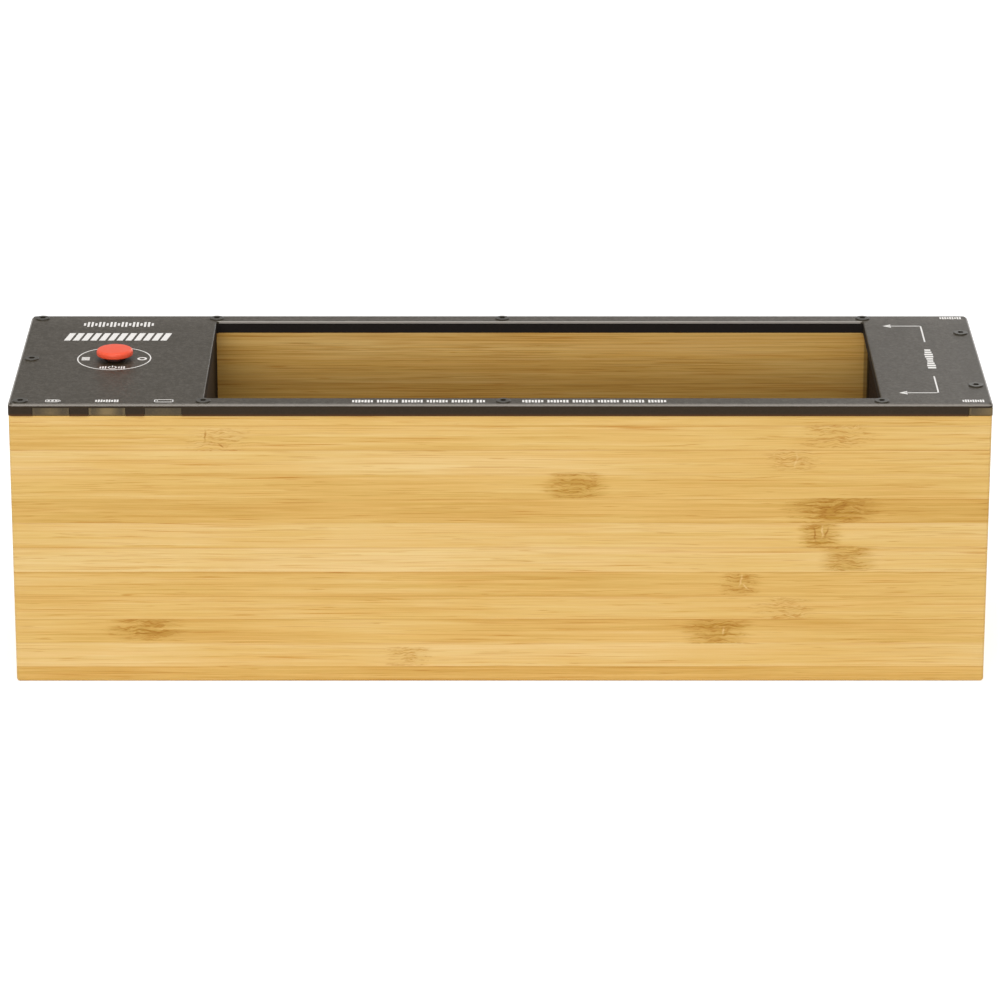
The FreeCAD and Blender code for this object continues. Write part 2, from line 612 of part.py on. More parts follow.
capacitor = doc.addObject("Part::Cylinder", "CapacitorCan")
bind(capacitor, Radius="capacitor_diameter / 2", Height="capacitor_height")
place(capacitor, right_of_switch, part_row, board_z)
doc.recompute()
capacitor_rim = doc.addObject("Part::Fillet", "capacitor")
capacitor_rim.Base = capacitor
capacitor_rim.Label = "capacitor"
top_rim = next(i for i, edge in enumerate(capacitor.Shape.Edges, start=1)
               if edge.Closed and lies(edge, "Z", value(f"{board_z} + capacitor_height")))
capacitor_rim.Edges = [(top_rim, value("capacitor_diameter") / 8, value("capacitor_diameter") / 8)]

board_under = f"({board_z} - board_thick)"
connector_low = f"({board_under} - connector_height)"
connector = new_body("connector")
connector_plan = sketch_on(connector, "ConnectorPlan", "XY_Plane")
rectangle(connector_plan, "-connector_width / 2", "connector_width / 2", "-connector_depth / 2",
          "connector_depth / 2")
pad(connector, connector_plan, "connector_height")
charge_lead_x = f"({charge_x} + lead_diameter / 2)"
charge_plug = (f"({board_left} + connector_width / 2)", "charge_lead_side")
battery_plug = (f"({battery_x} - strap_width / 2 - 1.5 * lead_diameter)",
                f"({battery_y} - battery_lead_inset - lead_clear)")
emitter_plugs = [(f"({partition_x} - lead_clear - lead_diameter / 2)", f"{side} * lead_clear")
                 for side in (-1, 1)]
board_connectors = group("board_connectors", connector,
                         [(x, y, connector_low) for x, y in [charge_plug, battery_plug] + emitter_plugs])


# ---- battery ----
battery_pack = block("battery_pack", f"{battery_x} - battery_width / 2", f"{battery_x} + battery_width / 2",
                     f"-{battery_y}", battery_y, "base_thick", "base_thick + battery_height")
dress(battery_pack, "Fillet", "battery_round", lambda edge: not lies(edge, "Z", value("base_thick")))


def make_strap():
    """A hat-shaped strap over the pack with a foot at each end."""
    body = new_body("battery_strap")
    sketch = sketch_on(body, "StrapSide", "YZ_Plane", f"{battery_x} - strap_width / 2")
    half = [(f"{battery_y} + fit_gap + strap_thick + strap_foot", "base_thick"),
            (f"{battery_y} + fit_gap + strap_thick + strap_foot", "base_thick + strap_thick"),
            (f"{battery_y} + fit_gap + strap_thick", "base_thick + strap_thick"),
            (f"{battery_y} + fit_gap + strap_thick", "base_thick + battery_height + strap_thick"),
            (f"{battery_y} + fit_gap", "base_thick + battery_height"),
            (f"{battery_y} + fit_gap", "base_thick")]
    right_out, left_out = half[:4], [(f"-({y})", z) for y, z in half[:4]]
    right_in, left_in = half[4:], [(f"-({y})", z) for y, z in half[4:]]
    outline(sketch, right_out + left_out[::-1] + left_in[::-1] + right_in)
    pad(body, sketch, "strap_width")
    drill(body, "StrapHoles", "XY_Plane", "base_thick + strap_thick",
          [(battery_x, f"-{strap_screw_y}"), (battery_x, strap_screw_y)], small_hole_width, "strap_thick")
    return body


battery_strap = make_strap()
strap_screws = group("strap_screws", pan, [(battery_x, y, "base_thick + strap_thick")
                                           for y in (f"-{strap_screw_y}", strap_screw_y)])


# ---- charging socket ----
def stadium(sketch, width, height):
    """A slot with round ends about the socket's centre, as a sketch of two lines and two arcs."""
    reach = value(width) / 2 - value(height) / 2
    radius = value(height) / 2
    level = value("socket_height")
    sketch.addGeometry(Part.LineSegment(Vector(-reach, level + radius, 0), Vector(reach, level + radius, 0)))
    sketch.addGeometry(Part.LineSegment(Vector(reach, level - radius, 0), Vector(-reach, level - radius, 0)))
    for x, start in ((reach, -math.pi / 2), (-reach, math.pi / 2)):
        turn = Part.Circle(Vector(x, level, 0), Vector(0, 0, 1), radius)
        sketch.addGeometry(Part.ArcOfCircle(turn, start, start + math.pi))
    upper, lower, right, left = range(sketch.GeometryCount - 4, sketch.GeometryCount)
    joins = ((upper, 2, right, 2), (lower, 1, right, 1), (upper, 1, left, 1), (lower, 2, left, 2))
    for one, end, other, start in joins:
        sketch.addConstraint(Sketcher.Constraint("Tangent", one, end, other, start))
    sketch.addConstraint(Sketcher.Constraint("Horizontal", upper))
    pin_down(sketch, right, 3, f"{width} / 2 - {height} / 2", "socket_height")
    pin_down(sketch, left, 3, f"{height} / 2 - {width} / 2", "socket_height")
    held = sketch.addConstraint(Sketcher.Constraint("Radius", right, radius))
    sketch.setExpression(f"Constraints[{held}]", full(f"{height} / 2"))


def make_bezel():
    body = new_body("charge_bezel")
    plan = sketch_on(body, "BezelPlan", "YZ_Plane", f"-{wood_x}")
    rectangle(plan, "-bezel_length / 2", "bezel_length / 2", "socket_height - bezel_height / 2",
              "socket_height + bezel_height / 2")
    pad(body, plan, "bezel_thick")
    dress(body, "Fillet", "bezel_round", lambda edge: edge.BoundBox.YLength < 1e-4
          and edge.BoundBox.ZLength < 1e-4)
    port = sketch_on(body, "BezelPort", "YZ_Plane", f"-{wood_x}")
    stadium(port, "(port_width + 2 * fit_gap)", "(port_height + 2 * fit_gap)")
    pocket(body, port, "bezel_thick", reverse=True)
    centres = [("-bezel_screw_spread", "socket_height"), ("bezel_screw_spread", "socket_height")]
    drill(body, "BezelHoles", "YZ_Plane", f"-{wood_x}", centres, small_pilot_width, "bezel_thick",
          reverse=True)
    # the screws' conical seats
    for i, (y, z) in enumerate(centres):
        sink = sketch_on(body, f"BezelSink{i}", "XY_Plane", z)
        outline(sink, [(f"-{wood_x}", y), (f"-{wood_x}", f"{y} - bezel_head / 2"),
                       (f"(bezel_head - pan_shank) / 2 - {wood_x}", f"{y} - pan_shank / 2"),
                       (f"(bezel_head - pan_shank) / 2 - {wood_x}", y)])
        groove = body.newObject("PartDesign::Groove", f"BezelSeat{i}")
        groove.Profile = sink
        groove.ReferenceAxis = (sink, ["Edge4"])
        groove.Angle = 360
        doc.recompute()
    return body


def make_port():
    """Metal shell from just inside the bezel's face back to the board, with a tongue in it."""
    body = new_body("charge_socket")
    mouth = f"-{wood_x} + port_mouth"
    shell = sketch_on(body, "PortShell", "YZ_Plane", mouth)
    stadium(shell, "port_width", "port_height")
    pad(body, shell, f"{wood_x} - port_mouth - {room_x}")
    hollow = sketch_on(body, "PortHollow", "YZ_Plane", mouth)
    stadium(hollow, "(port_width - 2 * port_shell)", "(port_height - 2 * port_shell)")
    pocket(body, hollow, f"{wood_x} - port_mouth - {room_x} - port_back", reverse=True)
    tongue = sketch_on(body, "PortTongue", "YZ_Plane", f"{mouth} + port_mouth")
    rectangle(tongue, "-port_tongue_width / 2", "port_tongue_width / 2", "socket_height - port_tongue / 2",
              "socket_height + port_tongue / 2")
    pad(body, tongue, f"{wood_x} - 2 * port_mouth - {room_x}")
    return body


charge_bezel = make_bezel()
charge_socket = make_port()
charge_board = block("charge_board", f"-{room_x}", charge_x,
                     "-charge_board_side / 2", "charge_board_side / 2",
                     "socket_height - charge_board_side / 2", "socket_height + charge_board_side / 2")
drill(charge_board, "ChargeHoles", "YZ_Plane", charge_x, charge_screw_centres,
      small_hole_width, "charge_board_thick")
charge_board_screws = group("charge_board_screws", pan, [(charge_x, y, z) for y, z in charge_screw_centres],
                            Vector(-1, 0, 0))
bezel_screw = countersunk_screw("bezel_screw", "bezel_head", "pan_shank", "bezel_screw_length",
                                "screw_tip / 2")
bezel_screws = group("bezel_screws", bezel_screw,
                     [(f"-{wood_x}", f"{side} * bezel_screw_spread", "socket_height") for side in (-1, 1)],
                     Vector(1, 0, 0))


# ---- sound emitters: built about their own axis, then turned so that it runs to +X ----
def make_frame(name):
    body = new_body(name)
    flange = sketch_on(body, name + "Flange", "XY_Plane")
    rectangle(flange, f"-{flange_half}", flange_half, f"-{flange_half}", flange_half)
    circle(flange, "0", "0", emitter_bore)
    for a in (-1, 1):
        for b in (-1, 1):
            circle(flange, f"{a} * {emitter_screw_step}", f"{b} * {emitter_screw_step}", small_hole_width)
    pad(body, flange, "emitter_flange")
    back = "emitter_flange + basket_depth"
    revolve(body, name + "Basket", [(f"{emitter_bore} / 2", "emitter_flange"),
                                    (f"{emitter_bore} / 2 + basket_wall", "emitter_flange"),
                                    (f"{basket_back} / 2", back), ("basket_eye / 2", back),
                                    ("basket_eye / 2", f"{back} - basket_wall"),
                                    (f"{basket_back} / 2 - basket_wall", f"{back} - basket_wall")])
    tab = sketch_on(body, name + "Tab", "XY_Plane", "emitter_flange")
    rectangle(tab, f"{tab_drop} - tab_thick", tab_drop, "-tab_width / 2", "tab_width / 2")
    pad(body, tab, "tab_length")
    return body


def make_cone(name):
    body = new_body(name)
    rim = f"{emitter_bore} / 2"
    fold = f"{rim} - cone_rim"
    low = "emitter_flange - 2 * cone_thick"
    deep = f"{low} + cone_depth"
    revolve(body, name + "Half", [("0", f"{deep} - dust_cap_rise"), ("dust_cap / 2", deep),
                                  (fold, low), (rim, low),
                                  (rim, f"{low} + cone_thick"), (fold, f"{low} + cone_thick"),
                                  ("dust_cap / 2", f"{deep} + cone_thick"),
                                  ("0", f"{deep} - dust_cap_rise + cone_thick")])
    return body


def make_magnet(name):
    body = new_body(name)
    plan = sketch_on(body, name + "Plan", "XY_Plane", "emitter_flange + basket_depth")
    circle(plan, "0", "0", f"{basket_back} - 2 * magnet_step")
    pad(body, plan, "magnet_height")
    dress(body, "Fillet", "magnet_round", lambda edge: edge.Closed and edge.BoundBox.ZLength < 1e-4)
    return body


along_x = Rotation(Vector(0, 0, 1), Vector(1, 0, 0))
for end, side in (("front", -1), ("rear", 1)):
    for make, piece in ((make_frame, "frame"), (make_cone, "cone"), (make_magnet, "magnet")):
        emitter_piece = make(f"{end}_emitter_{piece}")
        emitter_piece.Placement = Placement(Vector(), along_x)
        place(emitter_piece, emitter_x, f"{side} * {emitter_y}", "emitter_height")

emitter_gasket = block("emitter_gasket", gasket_x, emitter_x, f"-{emitter_y} - {flange_half}",
                       f"{emitter_y} + {flange_half}", f"emitter_height - {flange_half}",
                       f"emitter_height + {flange_half}")
drill(emitter_gasket, "GasketBores", "YZ_Plane", emitter_x, emitter_centres, emitter_bore, "gasket_thick")
drill(emitter_gasket, "GasketHoles", "YZ_Plane", emitter_x, emitter_screws_yz,
      small_hole_width, "gasket_thick")
emitter_screws = group("emitter_screws", pan,
                       [(f"{emitter_x} + emitter_flange", y, z) for y, z in emitter_screws_yz],
                       Vector(-1, 0, 0))


# ---- leads ----
def bent_path(points):
    """Straight runs joined by tangent arcs, each as large as its two runs allow."""
    edges = []
    start = points[0]
    for i in range(1, len(points) - 1):
        before, corner, after = points[i - 1], points[i], points[i + 1]
        back = (before - corner).normalize()
        ahead = (after - corner).normalize()
        half_turn = (math.pi - back.getAngle(ahead)) / 2
        trim = 0.45 * min(before.distanceToPoint(corner), corner.distanceToPoint(after))
        radius = trim / math.tan(half_turn)
        middle = (back + ahead).normalize()
        centre = corner + middle * math.hypot(trim, radius)
        leave, join = corner + back * trim, corner + ahead * trim
        edges.append(Part.LineSegment(start, leave).toShape())
        edges.append(Part.Arc(leave, centre - middle * radius, join).toShape())
        start = join
    edges.append(Part.LineSegment(start, points[-1]).toShape())
    return Part.Wire(edges)


def make_lead(name, places):
    points = [Vector(value(x), value(y), value(z)) for x, y, z in places]
    path = bent_path(points)
    radius = value("lead_diameter / 2")
    ring = Part.Wire(Part.makeCircle(radius, points[0], points[1] - points[0]))
    lead = doc.addObject("Part::Feature", name)
    lead.Label = name
    lead.Shape = path.makePipeShell([ring], True, True)
    section = math.pi * radius ** 2
    if abs(lead.Shape.Volume / (section * path.Length) - 1) > 0.01:
        raise RuntimeError(f"{name} lost its section along its path")
    return lead


def shift(place_, **steps):
    """A place moved by expressions along x, y or z."""
    return tuple(f"({text} + {steps[axis]})" if axis in steps else text for axis, text in zip("xyz", place_))


battery_top = "(base_thick + battery_height)"
drop = f"({connector_low} - {battery_top})"
battery_start = (battery_plug[0], battery_plug[1], connector_low)
battery_end = shift((battery_plug[0], battery_plug[1], battery_top), y="lead_clear")
make_lead("battery_lead", [battery_start, shift(battery_start, z=f"-{drop} * 0.35"),
                           shift(battery_end, z=f"{drop} * 0.35"), battery_end])

charge_top = (charge_lead_x, "charge_lead_side", connector_low)
charge_foot = (charge_lead_x, "-charge_lead_side / 2", "socket_height")
charge_rise = f"({connector_low} - socket_height)"
make_lead("charge_lead", [charge_top, shift(charge_top, z=f"-{charge_rise} * 0.35"),
                          shift(charge_foot, z=f"{charge_rise} * 0.35"), charge_foot])

duct_z = "(base_thick + batten_height / 2)"
duct_length = f"({emitter_x} - {partition_x})"
tab_x = f"({emitter_x} + emitter_flange + tab_length / 2)"
tab_z = f"(emitter_height - {tab_drop})"
for (plug_x, plug_y), end, side in zip(emitter_plugs, ("front", "rear"), (-1, 1)):
    corner = (plug_x, plug_y, duct_z)
    foot = (tab_x, f"{side} * {emitter_y}", duct_z)
    wander = [(f"{partition_x} + {duct_length} * {share}", f"{side} * ({near} * {emitter_y})", duct_z)
              for share, near in ((0.06, 0.3), (0.3, 0.42), (0.58, 0.8), (0.84, 0.92))]
    make_lead(f"{end}_emitter_lead", [(plug_x, plug_y, connector_low), corner, *wander, foot,
                                      (tab_x, f"{side} * {emitter_y}", tab_z)])

# ---- test and write ----
patterns = {"plate_screw", "bezel_screw", "pan_screw", "standoff", "connector", "CapacitorCan"}
doc.recompute()
for thing in doc.Objects:
    if "Invalid" in thing.State or "Error" in thing.State:
        raise RuntimeError(f"{thing.Label} failed: {thing.State}")

kinds = ("PartDesign::Body", "Part::Compound", "Part::Feature", "Part::Fillet")
nodes = [thing for thing in doc.Objects if thing.TypeId in kinds and thing.Label not in patterns]
for node in nodes:
    if node.Shape.isNull() or not node.Shape.isValid() or not node.Shape.Solids:
        raise RuntimeError(f"{node.Label} has no valid solid")

os.makedirs("parts", exist_ok=True)
for node in nodes:
    node.Shape.exportStep(f"parts/{node.Label}.step")
print(len(nodes), "nodes written")
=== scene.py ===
import bpy
import bmesh
import random
from math import cos, pi, radians, sin, sqrt
from mathutils import Matrix, Vector


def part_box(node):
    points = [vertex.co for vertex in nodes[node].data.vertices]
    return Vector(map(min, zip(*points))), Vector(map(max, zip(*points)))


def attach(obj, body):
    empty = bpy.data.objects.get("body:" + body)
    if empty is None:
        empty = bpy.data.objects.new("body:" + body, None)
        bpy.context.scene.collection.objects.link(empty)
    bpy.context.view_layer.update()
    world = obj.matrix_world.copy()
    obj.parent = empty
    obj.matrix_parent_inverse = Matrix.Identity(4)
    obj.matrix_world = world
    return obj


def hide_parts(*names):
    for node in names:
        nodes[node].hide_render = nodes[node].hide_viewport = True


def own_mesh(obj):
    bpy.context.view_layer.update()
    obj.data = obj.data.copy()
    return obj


# Looks of an open-top bamboo phone box with a black printed plate.
# Sizes in the dictionaries are millimetres, everything in the scene is metres.

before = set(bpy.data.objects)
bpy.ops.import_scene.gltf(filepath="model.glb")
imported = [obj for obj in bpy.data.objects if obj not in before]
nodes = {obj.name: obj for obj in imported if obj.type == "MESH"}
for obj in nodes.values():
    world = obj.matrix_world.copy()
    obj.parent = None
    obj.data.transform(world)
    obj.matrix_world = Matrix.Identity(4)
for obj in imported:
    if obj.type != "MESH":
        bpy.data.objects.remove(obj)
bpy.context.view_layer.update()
mm = 0.001

# the slot's left and right edges and half its depth, and the middle of the button
slotLeft, slotRight, slotY = -75.5, 96.9, 32.85
buttonX = -100.3


cameraView = {
    "place": (-3.95, -1264.1, 478.0),
    "down": 19.255, "turn": -0.18, "roll": 0.059,   # degrees
    "lens": 183.26, "sensor": 36,
    "near": 50, "far": 20000,
}


def makeCamera(view):
    data = bpy.data.cameras.new("camera")
    data.lens, data.sensor_width = view["lens"], view["sensor"]
    data.clip_start, data.clip_end = view["near"] * mm, view["far"] * mm
    camera = bpy.data.objects.new("camera", data)
    bpy.context.scene.collection.objects.link(camera)
    turned = (Matrix.Rotation(radians(view["turn"]), 4, "Z")
              @ Matrix.Rotation(radians(90 - view["down"]), 4, "X")
              @ Matrix.Rotation(radians(view["roll"]), 4, "Z"))
    camera.matrix_world = Matrix.Translation(Vector(view["place"]) * mm) @ turned
    bpy.context.scene.camera = camera


makeCamera(cameraView)
print("camera set")


class Wire:
    # one output socket of a finish, so that sums on it read as plain sums
    def __init__(self, finish, socket):
        self.finish = finish
        self.socket = socket

    def sum(self, operation, *values):
        return self.finish.node("Math", {"operation": operation}, dict(enumerate(values)))

    def __add__(self, other):
        return self.sum("ADD", self, other)

    def __radd__(self, other):
        return self.sum("ADD", other, self)

    def __sub__(self, other):
        return self.sum("SUBTRACT", self, other)

    def __rsub__(self, other):
        return self.sum("SUBTRACT", other, self)

    def __mul__(self, other):
        return self.sum("MULTIPLY", self, other)

    def __rmul__(self, other):
        return self.sum("MULTIPLY", other, self)

    def __truediv__(self, other):
        return self.sum("DIVIDE", self, other)

    def __pow__(self, other):
        return self.sum("POWER", self, other)

    def __gt__(self, other):
        return self.sum("GREATER_THAN", self, other)

    def __lt__(self, other):
        return self.sum("LESS_THAN", self, other)

    def __abs__(self):
        return self.sum("ABSOLUTE", self)

    def most(self, other):
        return self.sum("MAXIMUM", self, other)

    def floor(self):
        return self.sum("FLOOR", self)

    def part(self):
        return self.sum("FRACT", self)

    def wave(self):
        return self.sum("SINE", self)

    def rise(self, start, end):
        # 0 before start, 1 after end, smooth between; start may be the larger
        return self.finish.node("MapRange", {"interpolation_type": "SMOOTHSTEP"},
                                {"Value": self, "From Min": start, "From Max": end})

    def hump(self, centre, reach):
        # 1 at the centre, 0 past the reach on both sides
        return abs(self - centre).rise(reach, 0)


class Finish:
    # a material under construction
    def __init__(self, name, **constants):
        self.material = bpy.data.materials.new(name)
        self.material.use_nodes = True
        self.tree = self.material.node_tree
        self.shader = self.tree.nodes["Principled BSDF"]
        for socket, value in constants.items():
            self.shader.inputs[socket.replace("_", " ")].default_value = value

    def node(self, kind, settings=None, inputs=None, out=0):
        made = self.tree.nodes.new("ShaderNode" + kind)
        for name, value in (settings or {}).items():
            if name == "stops":
                self.setStops(made.color_ramp, value)
            elif name == "between":
                made.color_ramp.interpolation = value
            else:
                setattr(made, name, value)
        for name, value in (inputs or {}).items():
            socket = made.inputs[name]
            if isinstance(value, Wire):
                self.tree.links.new(value.socket, socket)
            elif hasattr(value, "__len__") and socket.type == "RGBA":
                socket.default_value = (*value, 1)
            else:
                socket.default_value = value
        return Wire(self, made.outputs[out])

    def setStops(self, ramp, stops):
        # a stop's colour has three values, or one for a grey
        while len(ramp.elements) < len(stops):
            ramp.elements.new(1)
        for element, (place, colour) in zip(ramp.elements, stops):
            element.position = place
            grey = not hasattr(colour, "__len__")
            element.color = (colour, colour, colour, 1) if grey else (*colour, 1)

    def place(self):
        # x, y and z on the object, in millimetres
        spot = self.node("TexCoord", out="Object")
        spot = self.node("VectorMath", {"operation": "SCALE"}, {"Vector": spot, "Scale": 1000})
        return [self.node("SeparateXYZ", {}, {"Vector": spot}, out) for out in range(3)]

    def spot(self, x, y, z):
        return self.node("CombineXYZ", {}, {"X": x, "Y": y, "Z": z})

    def here(self):
        # the place on the object as one vector
        return self.spot(*self.place())

    def noise(self, spot, scale=1.0, detail=2.0, rough=0.5):
        return self.node("TexNoise", {}, {"Vector": spot, "Scale": scale, "Detail": detail,
                                          "Roughness": rough})

    def ramp(self, value, stops, between="LINEAR"):
        return self.node("ValToRGB", {"between": between, "stops": stops}, {"Fac": value})

    def mix(self, share, first, second, how="MIX"):
        return self.node("Mix", {"data_type": "RGBA", "blend_type": how, "clamp_factor": True},
                         {0: share, 6: first, 7: second}, 2)

    def bump(self, height, strength, distance):
        return self.node("Bump", {}, {"Height": height, "Strength": strength,
                                      "Distance": distance * mm})

    def feed(self, **sockets):
        for name, wire in sockets.items():
            self.tree.links.new(wire.socket, self.shader.inputs[name.replace("_", " ")])
        return self.material


def dress(material, *names):
    # give a carried-over node its finish
    for name in names:
        slots = nodes[name].data.materials
        slots.clear()
        slots.append(material)


def addPiece(name, bm, material, body="case", smooth=True, replaces=()):
    mesh = bpy.data.meshes.new(name)
    bm.to_mesh(mesh)
    bm.free()
    mesh.materials.append(material)
    for face in mesh.polygons:
        face.use_smooth = smooth
    piece = bpy.data.objects.new(name, mesh)
    bpy.context.scene.collection.objects.link(piece)
    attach(piece, body)
    if replaces:
        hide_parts(*replaces)
    return piece


bamboo = {
    "pale": (0.875, 0.632, 0.272), "light": (0.795, 0.518, 0.157), "dark": (0.655, 0.376, 0.077),
    # these five only multiply the wood's own colour
    "line": (0.80, 0.64, 0.42), "seam": (0.72, 0.53, 0.30), "knot": (0.60, 0.47, 0.06),
    "peach": (1.0, 0.95, 0.93), "crack": (0.66, 0.46, 0.20),
    "strip": 6.57, "frontTall": 72.2, "laneStep": 3.7, "ripple": 1.2, "curl": 3.2,
    "knotTall": 1.9, "knotRagged": 2.4, "crackWide": 0.4, "crackWobble": 1.5,
    "fibres": 0.72, "dashes": 0.62, "bands": 0.85, "drift": 0.85,
    "rough": 0.44, "roughSpread": 0.16, "relief": 0.05,
}

# each grain's scale along, aside and across the fibres, its shift, detail and roughness
grains = {
    "fine": (0.018, 0.4, 2.3, 0, 5, 0.7), "dash": (0.075, 0.4, 3.0, 0, 3, 0.7),
    "band": (0.009, 0.15, 0.75, 0, 3, 0.55), "hair": (0.007, 0.3, 1.25, 9, 2, 0.5),
    "thin": (0.02, 0.3, 2.4, 5, 1, 0.5), "gaps": (0.024, 0, 0.5, 0, 2, 0.5),
}

# the front's strips from its foot up: lower edge, tone from pale 0 to dark 1, and how strong
# the line under the strip is
frontStrips = [
    (0, 0.71, 0), (4.0, 0.28, 0.3), (10.47, 0.56, 0.25), (17.05, 0.46, 0.6), (23.4, 0.54, 0.6),
    (29.9, 0.26, 0.6), (36.6, 0.30, 0.6), (43.2, 0.72, 0.3), (49.8, 0.54, 0.2), (56.4, 0.33, 0.3),
    (63.0, 0.45, 0.7), (69.5, 0.50, 0.6),
]

# along, up, half width, half height, darkness
frontKnots = [
    (-72.0, 66.2, 9, 3.4, 0.12), (19.4, 53.6, 9, 3.5, 0.8), (-24.1, 7.0, 7, 2.6, 0.22),
    (-91.0, 14.2, 11, 3, 0.75), (85.5, 46.8, 13, 3.4, 0.95), (81.8, 40.0, 6, 3.4, 0.85),
    (89.0, 33.8, 8, 3.4, 0.75), (74.5, 60.4, 8, 3.0, 0.2), (61.5, 26.8, 6, 3.1, 0.5),
    (72.5, 20.2, 9, 2.9, 0.2), (56.2, 13.8, 10, 3.3, 0.8), (84.9, 66.8, 11, 3.1, 0.25),
]

# along, up, lean, half height and whether dark or pale
frontCracks = [
    (-75.0, 67.0, 0.05, 2.2, 1), (-71.0, 64.3, -0.9, 0.9, 1), (75.2, 60.3, 0.1, 2.7, 0),
    (61.6, 27.8, 0.25, 2.3, 0), (63.0, 26.0, -0.9, 1.2, 0), (80.6, 40.3, -0.1, 2.8, 1),
    (82.3, 41.0, 0.12, 2.6, 0), (83.6, 40.8, 0.25, 2.2, 1), (57.6, 14.0, 0.2, 1.4, 0),
]


def most(first, second):
    return second if first is None else first.most(second)


def givenStrips(finish, up, strips):
    # tone, a number of its own and seams, for strips that are listed one by one
    tall = bamboo["frontTall"]
    tone = finish.ramp(up / tall, [(low / tall, shade) for low, shade, _ in strips], "CONSTANT")
    tone = finish.node("SeparateColor", {}, {"Color": tone})
    seams = None
    for low, _, depth in strips[1:]:
        seams = most(seams, up.hump(low + 0.05, 0.28) * depth)
    return tone, tone * 61.7, seams


def evenStrips(finish, up, seed):
    # the same for strips of one width, whose tone is drawn from their number
    row = up / bamboo["strip"] + seed * 0.37
    level = row.floor()
    tone = finish.node("TexWhiteNoise", {"noise_dimensions": "1D"}, {"W": level + seed * 1.7})
    seams = row.part().rise(0.05, 0) * ((level * 12.9898).wave() * 0.35 + 0.45)
    return tone * 0.5 + 0.22, level, seams


def knotFields(run, up, streak, knots):
    # how far the fibres bend, darken and glow, each knot only inside its own strip
    bend, shade, glow = None, None, None
    ragged = streak * bamboo["knotRagged"]
    for spot, high, width, height, depth in knots:
        far = ((run - spot) / width) ** 2 + ((up - high) / (height * bamboo["knotTall"])) ** 2
        far = far + ragged
        own = abs(up - high).rise(height + 0.1, height - 0.1)
        near = far.rise(1.0, 0.0) * own
        bend = most(bend, near)
        shade = most(shade, far.rise(1.1, -0.5) * own * depth)
        glow = most(glow, near * max(0, 0.9 - depth * 2.5))
    return bend, shade, glow


sawnLook = {"wood": (0.66, 0.43, 0.17), "pore": (0.24, 0.115, 0.035), "dark": (0.46, 0.26, 0.08),
            "poreScale": 1.9, "from": 0.12, "to": 0.02}


def addSawnEnds(finish, colour, run, y, z, tone, ends):
    # the sawn ends of the strips show dark pores
    look = sawnLook
    cut = abs(run).rise(ends - look["from"], ends - look["to"])
    section = finish.spot(0, y * look["poreScale"], z * look["poreScale"])
    pores = finish.node("TexVoronoi", {}, {"Vector": section})
    sawn = finish.mix(pores.rise(0.34, 0.14) * 0.8, look["wood"], look["pore"])
    sawn = finish.mix(tone * 0.5, sawn, look["dark"])
    return finish.mix(cut, colour, sawn)


# tints of the face behind the slot, which are painted shade except the scratches; all but the
# corner's multiply
innerLook = {"face": (0.95, 0.88, 0.71), "low": (0.77, 0.77, 0.77), "lowFrom": 69, "lowTo": 57,
             "scratch": (0.72, 0.62, 0.45), "corner": (0.004, 0.002, 0.001)}


def addInnerFace(finish, colour, run, side, up, seed, inside):
    # painted shade: darker than the outside, more so lower down and where it meets the cloth
    look = innerLook
    inner = side.rise(inside + 0.2, inside + 0.05)
    colour = finish.mix(inner, colour, look["face"], "MULTIPLY")
    low = up.rise(look["lowFrom"], look["lowTo"])
    colour = finish.mix(inner * low, colour, look["low"], "MULTIPLY")
    corner = run.rise(slotRight + 0.2, slotRight + 0.7) * 0.5
    corner = corner + run.rise(slotRight + 1.3, slotRight + 1.5) * 0.4
    colour = finish.mix(inner * corner, colour, look["corner"])
    scratch = finish.noise(finish.spot(run * 0.006, seed, up * 1.5), detail=3, rough=0.6)
    scratch = abs(scratch - 0.5).rise(0.03, 0.008) + abs(scratch - 0.42).rise(0.02, 0.006)
    return finish.mix(inner * scratch * 0.85, colour, look["scratch"], "MULTIPLY")


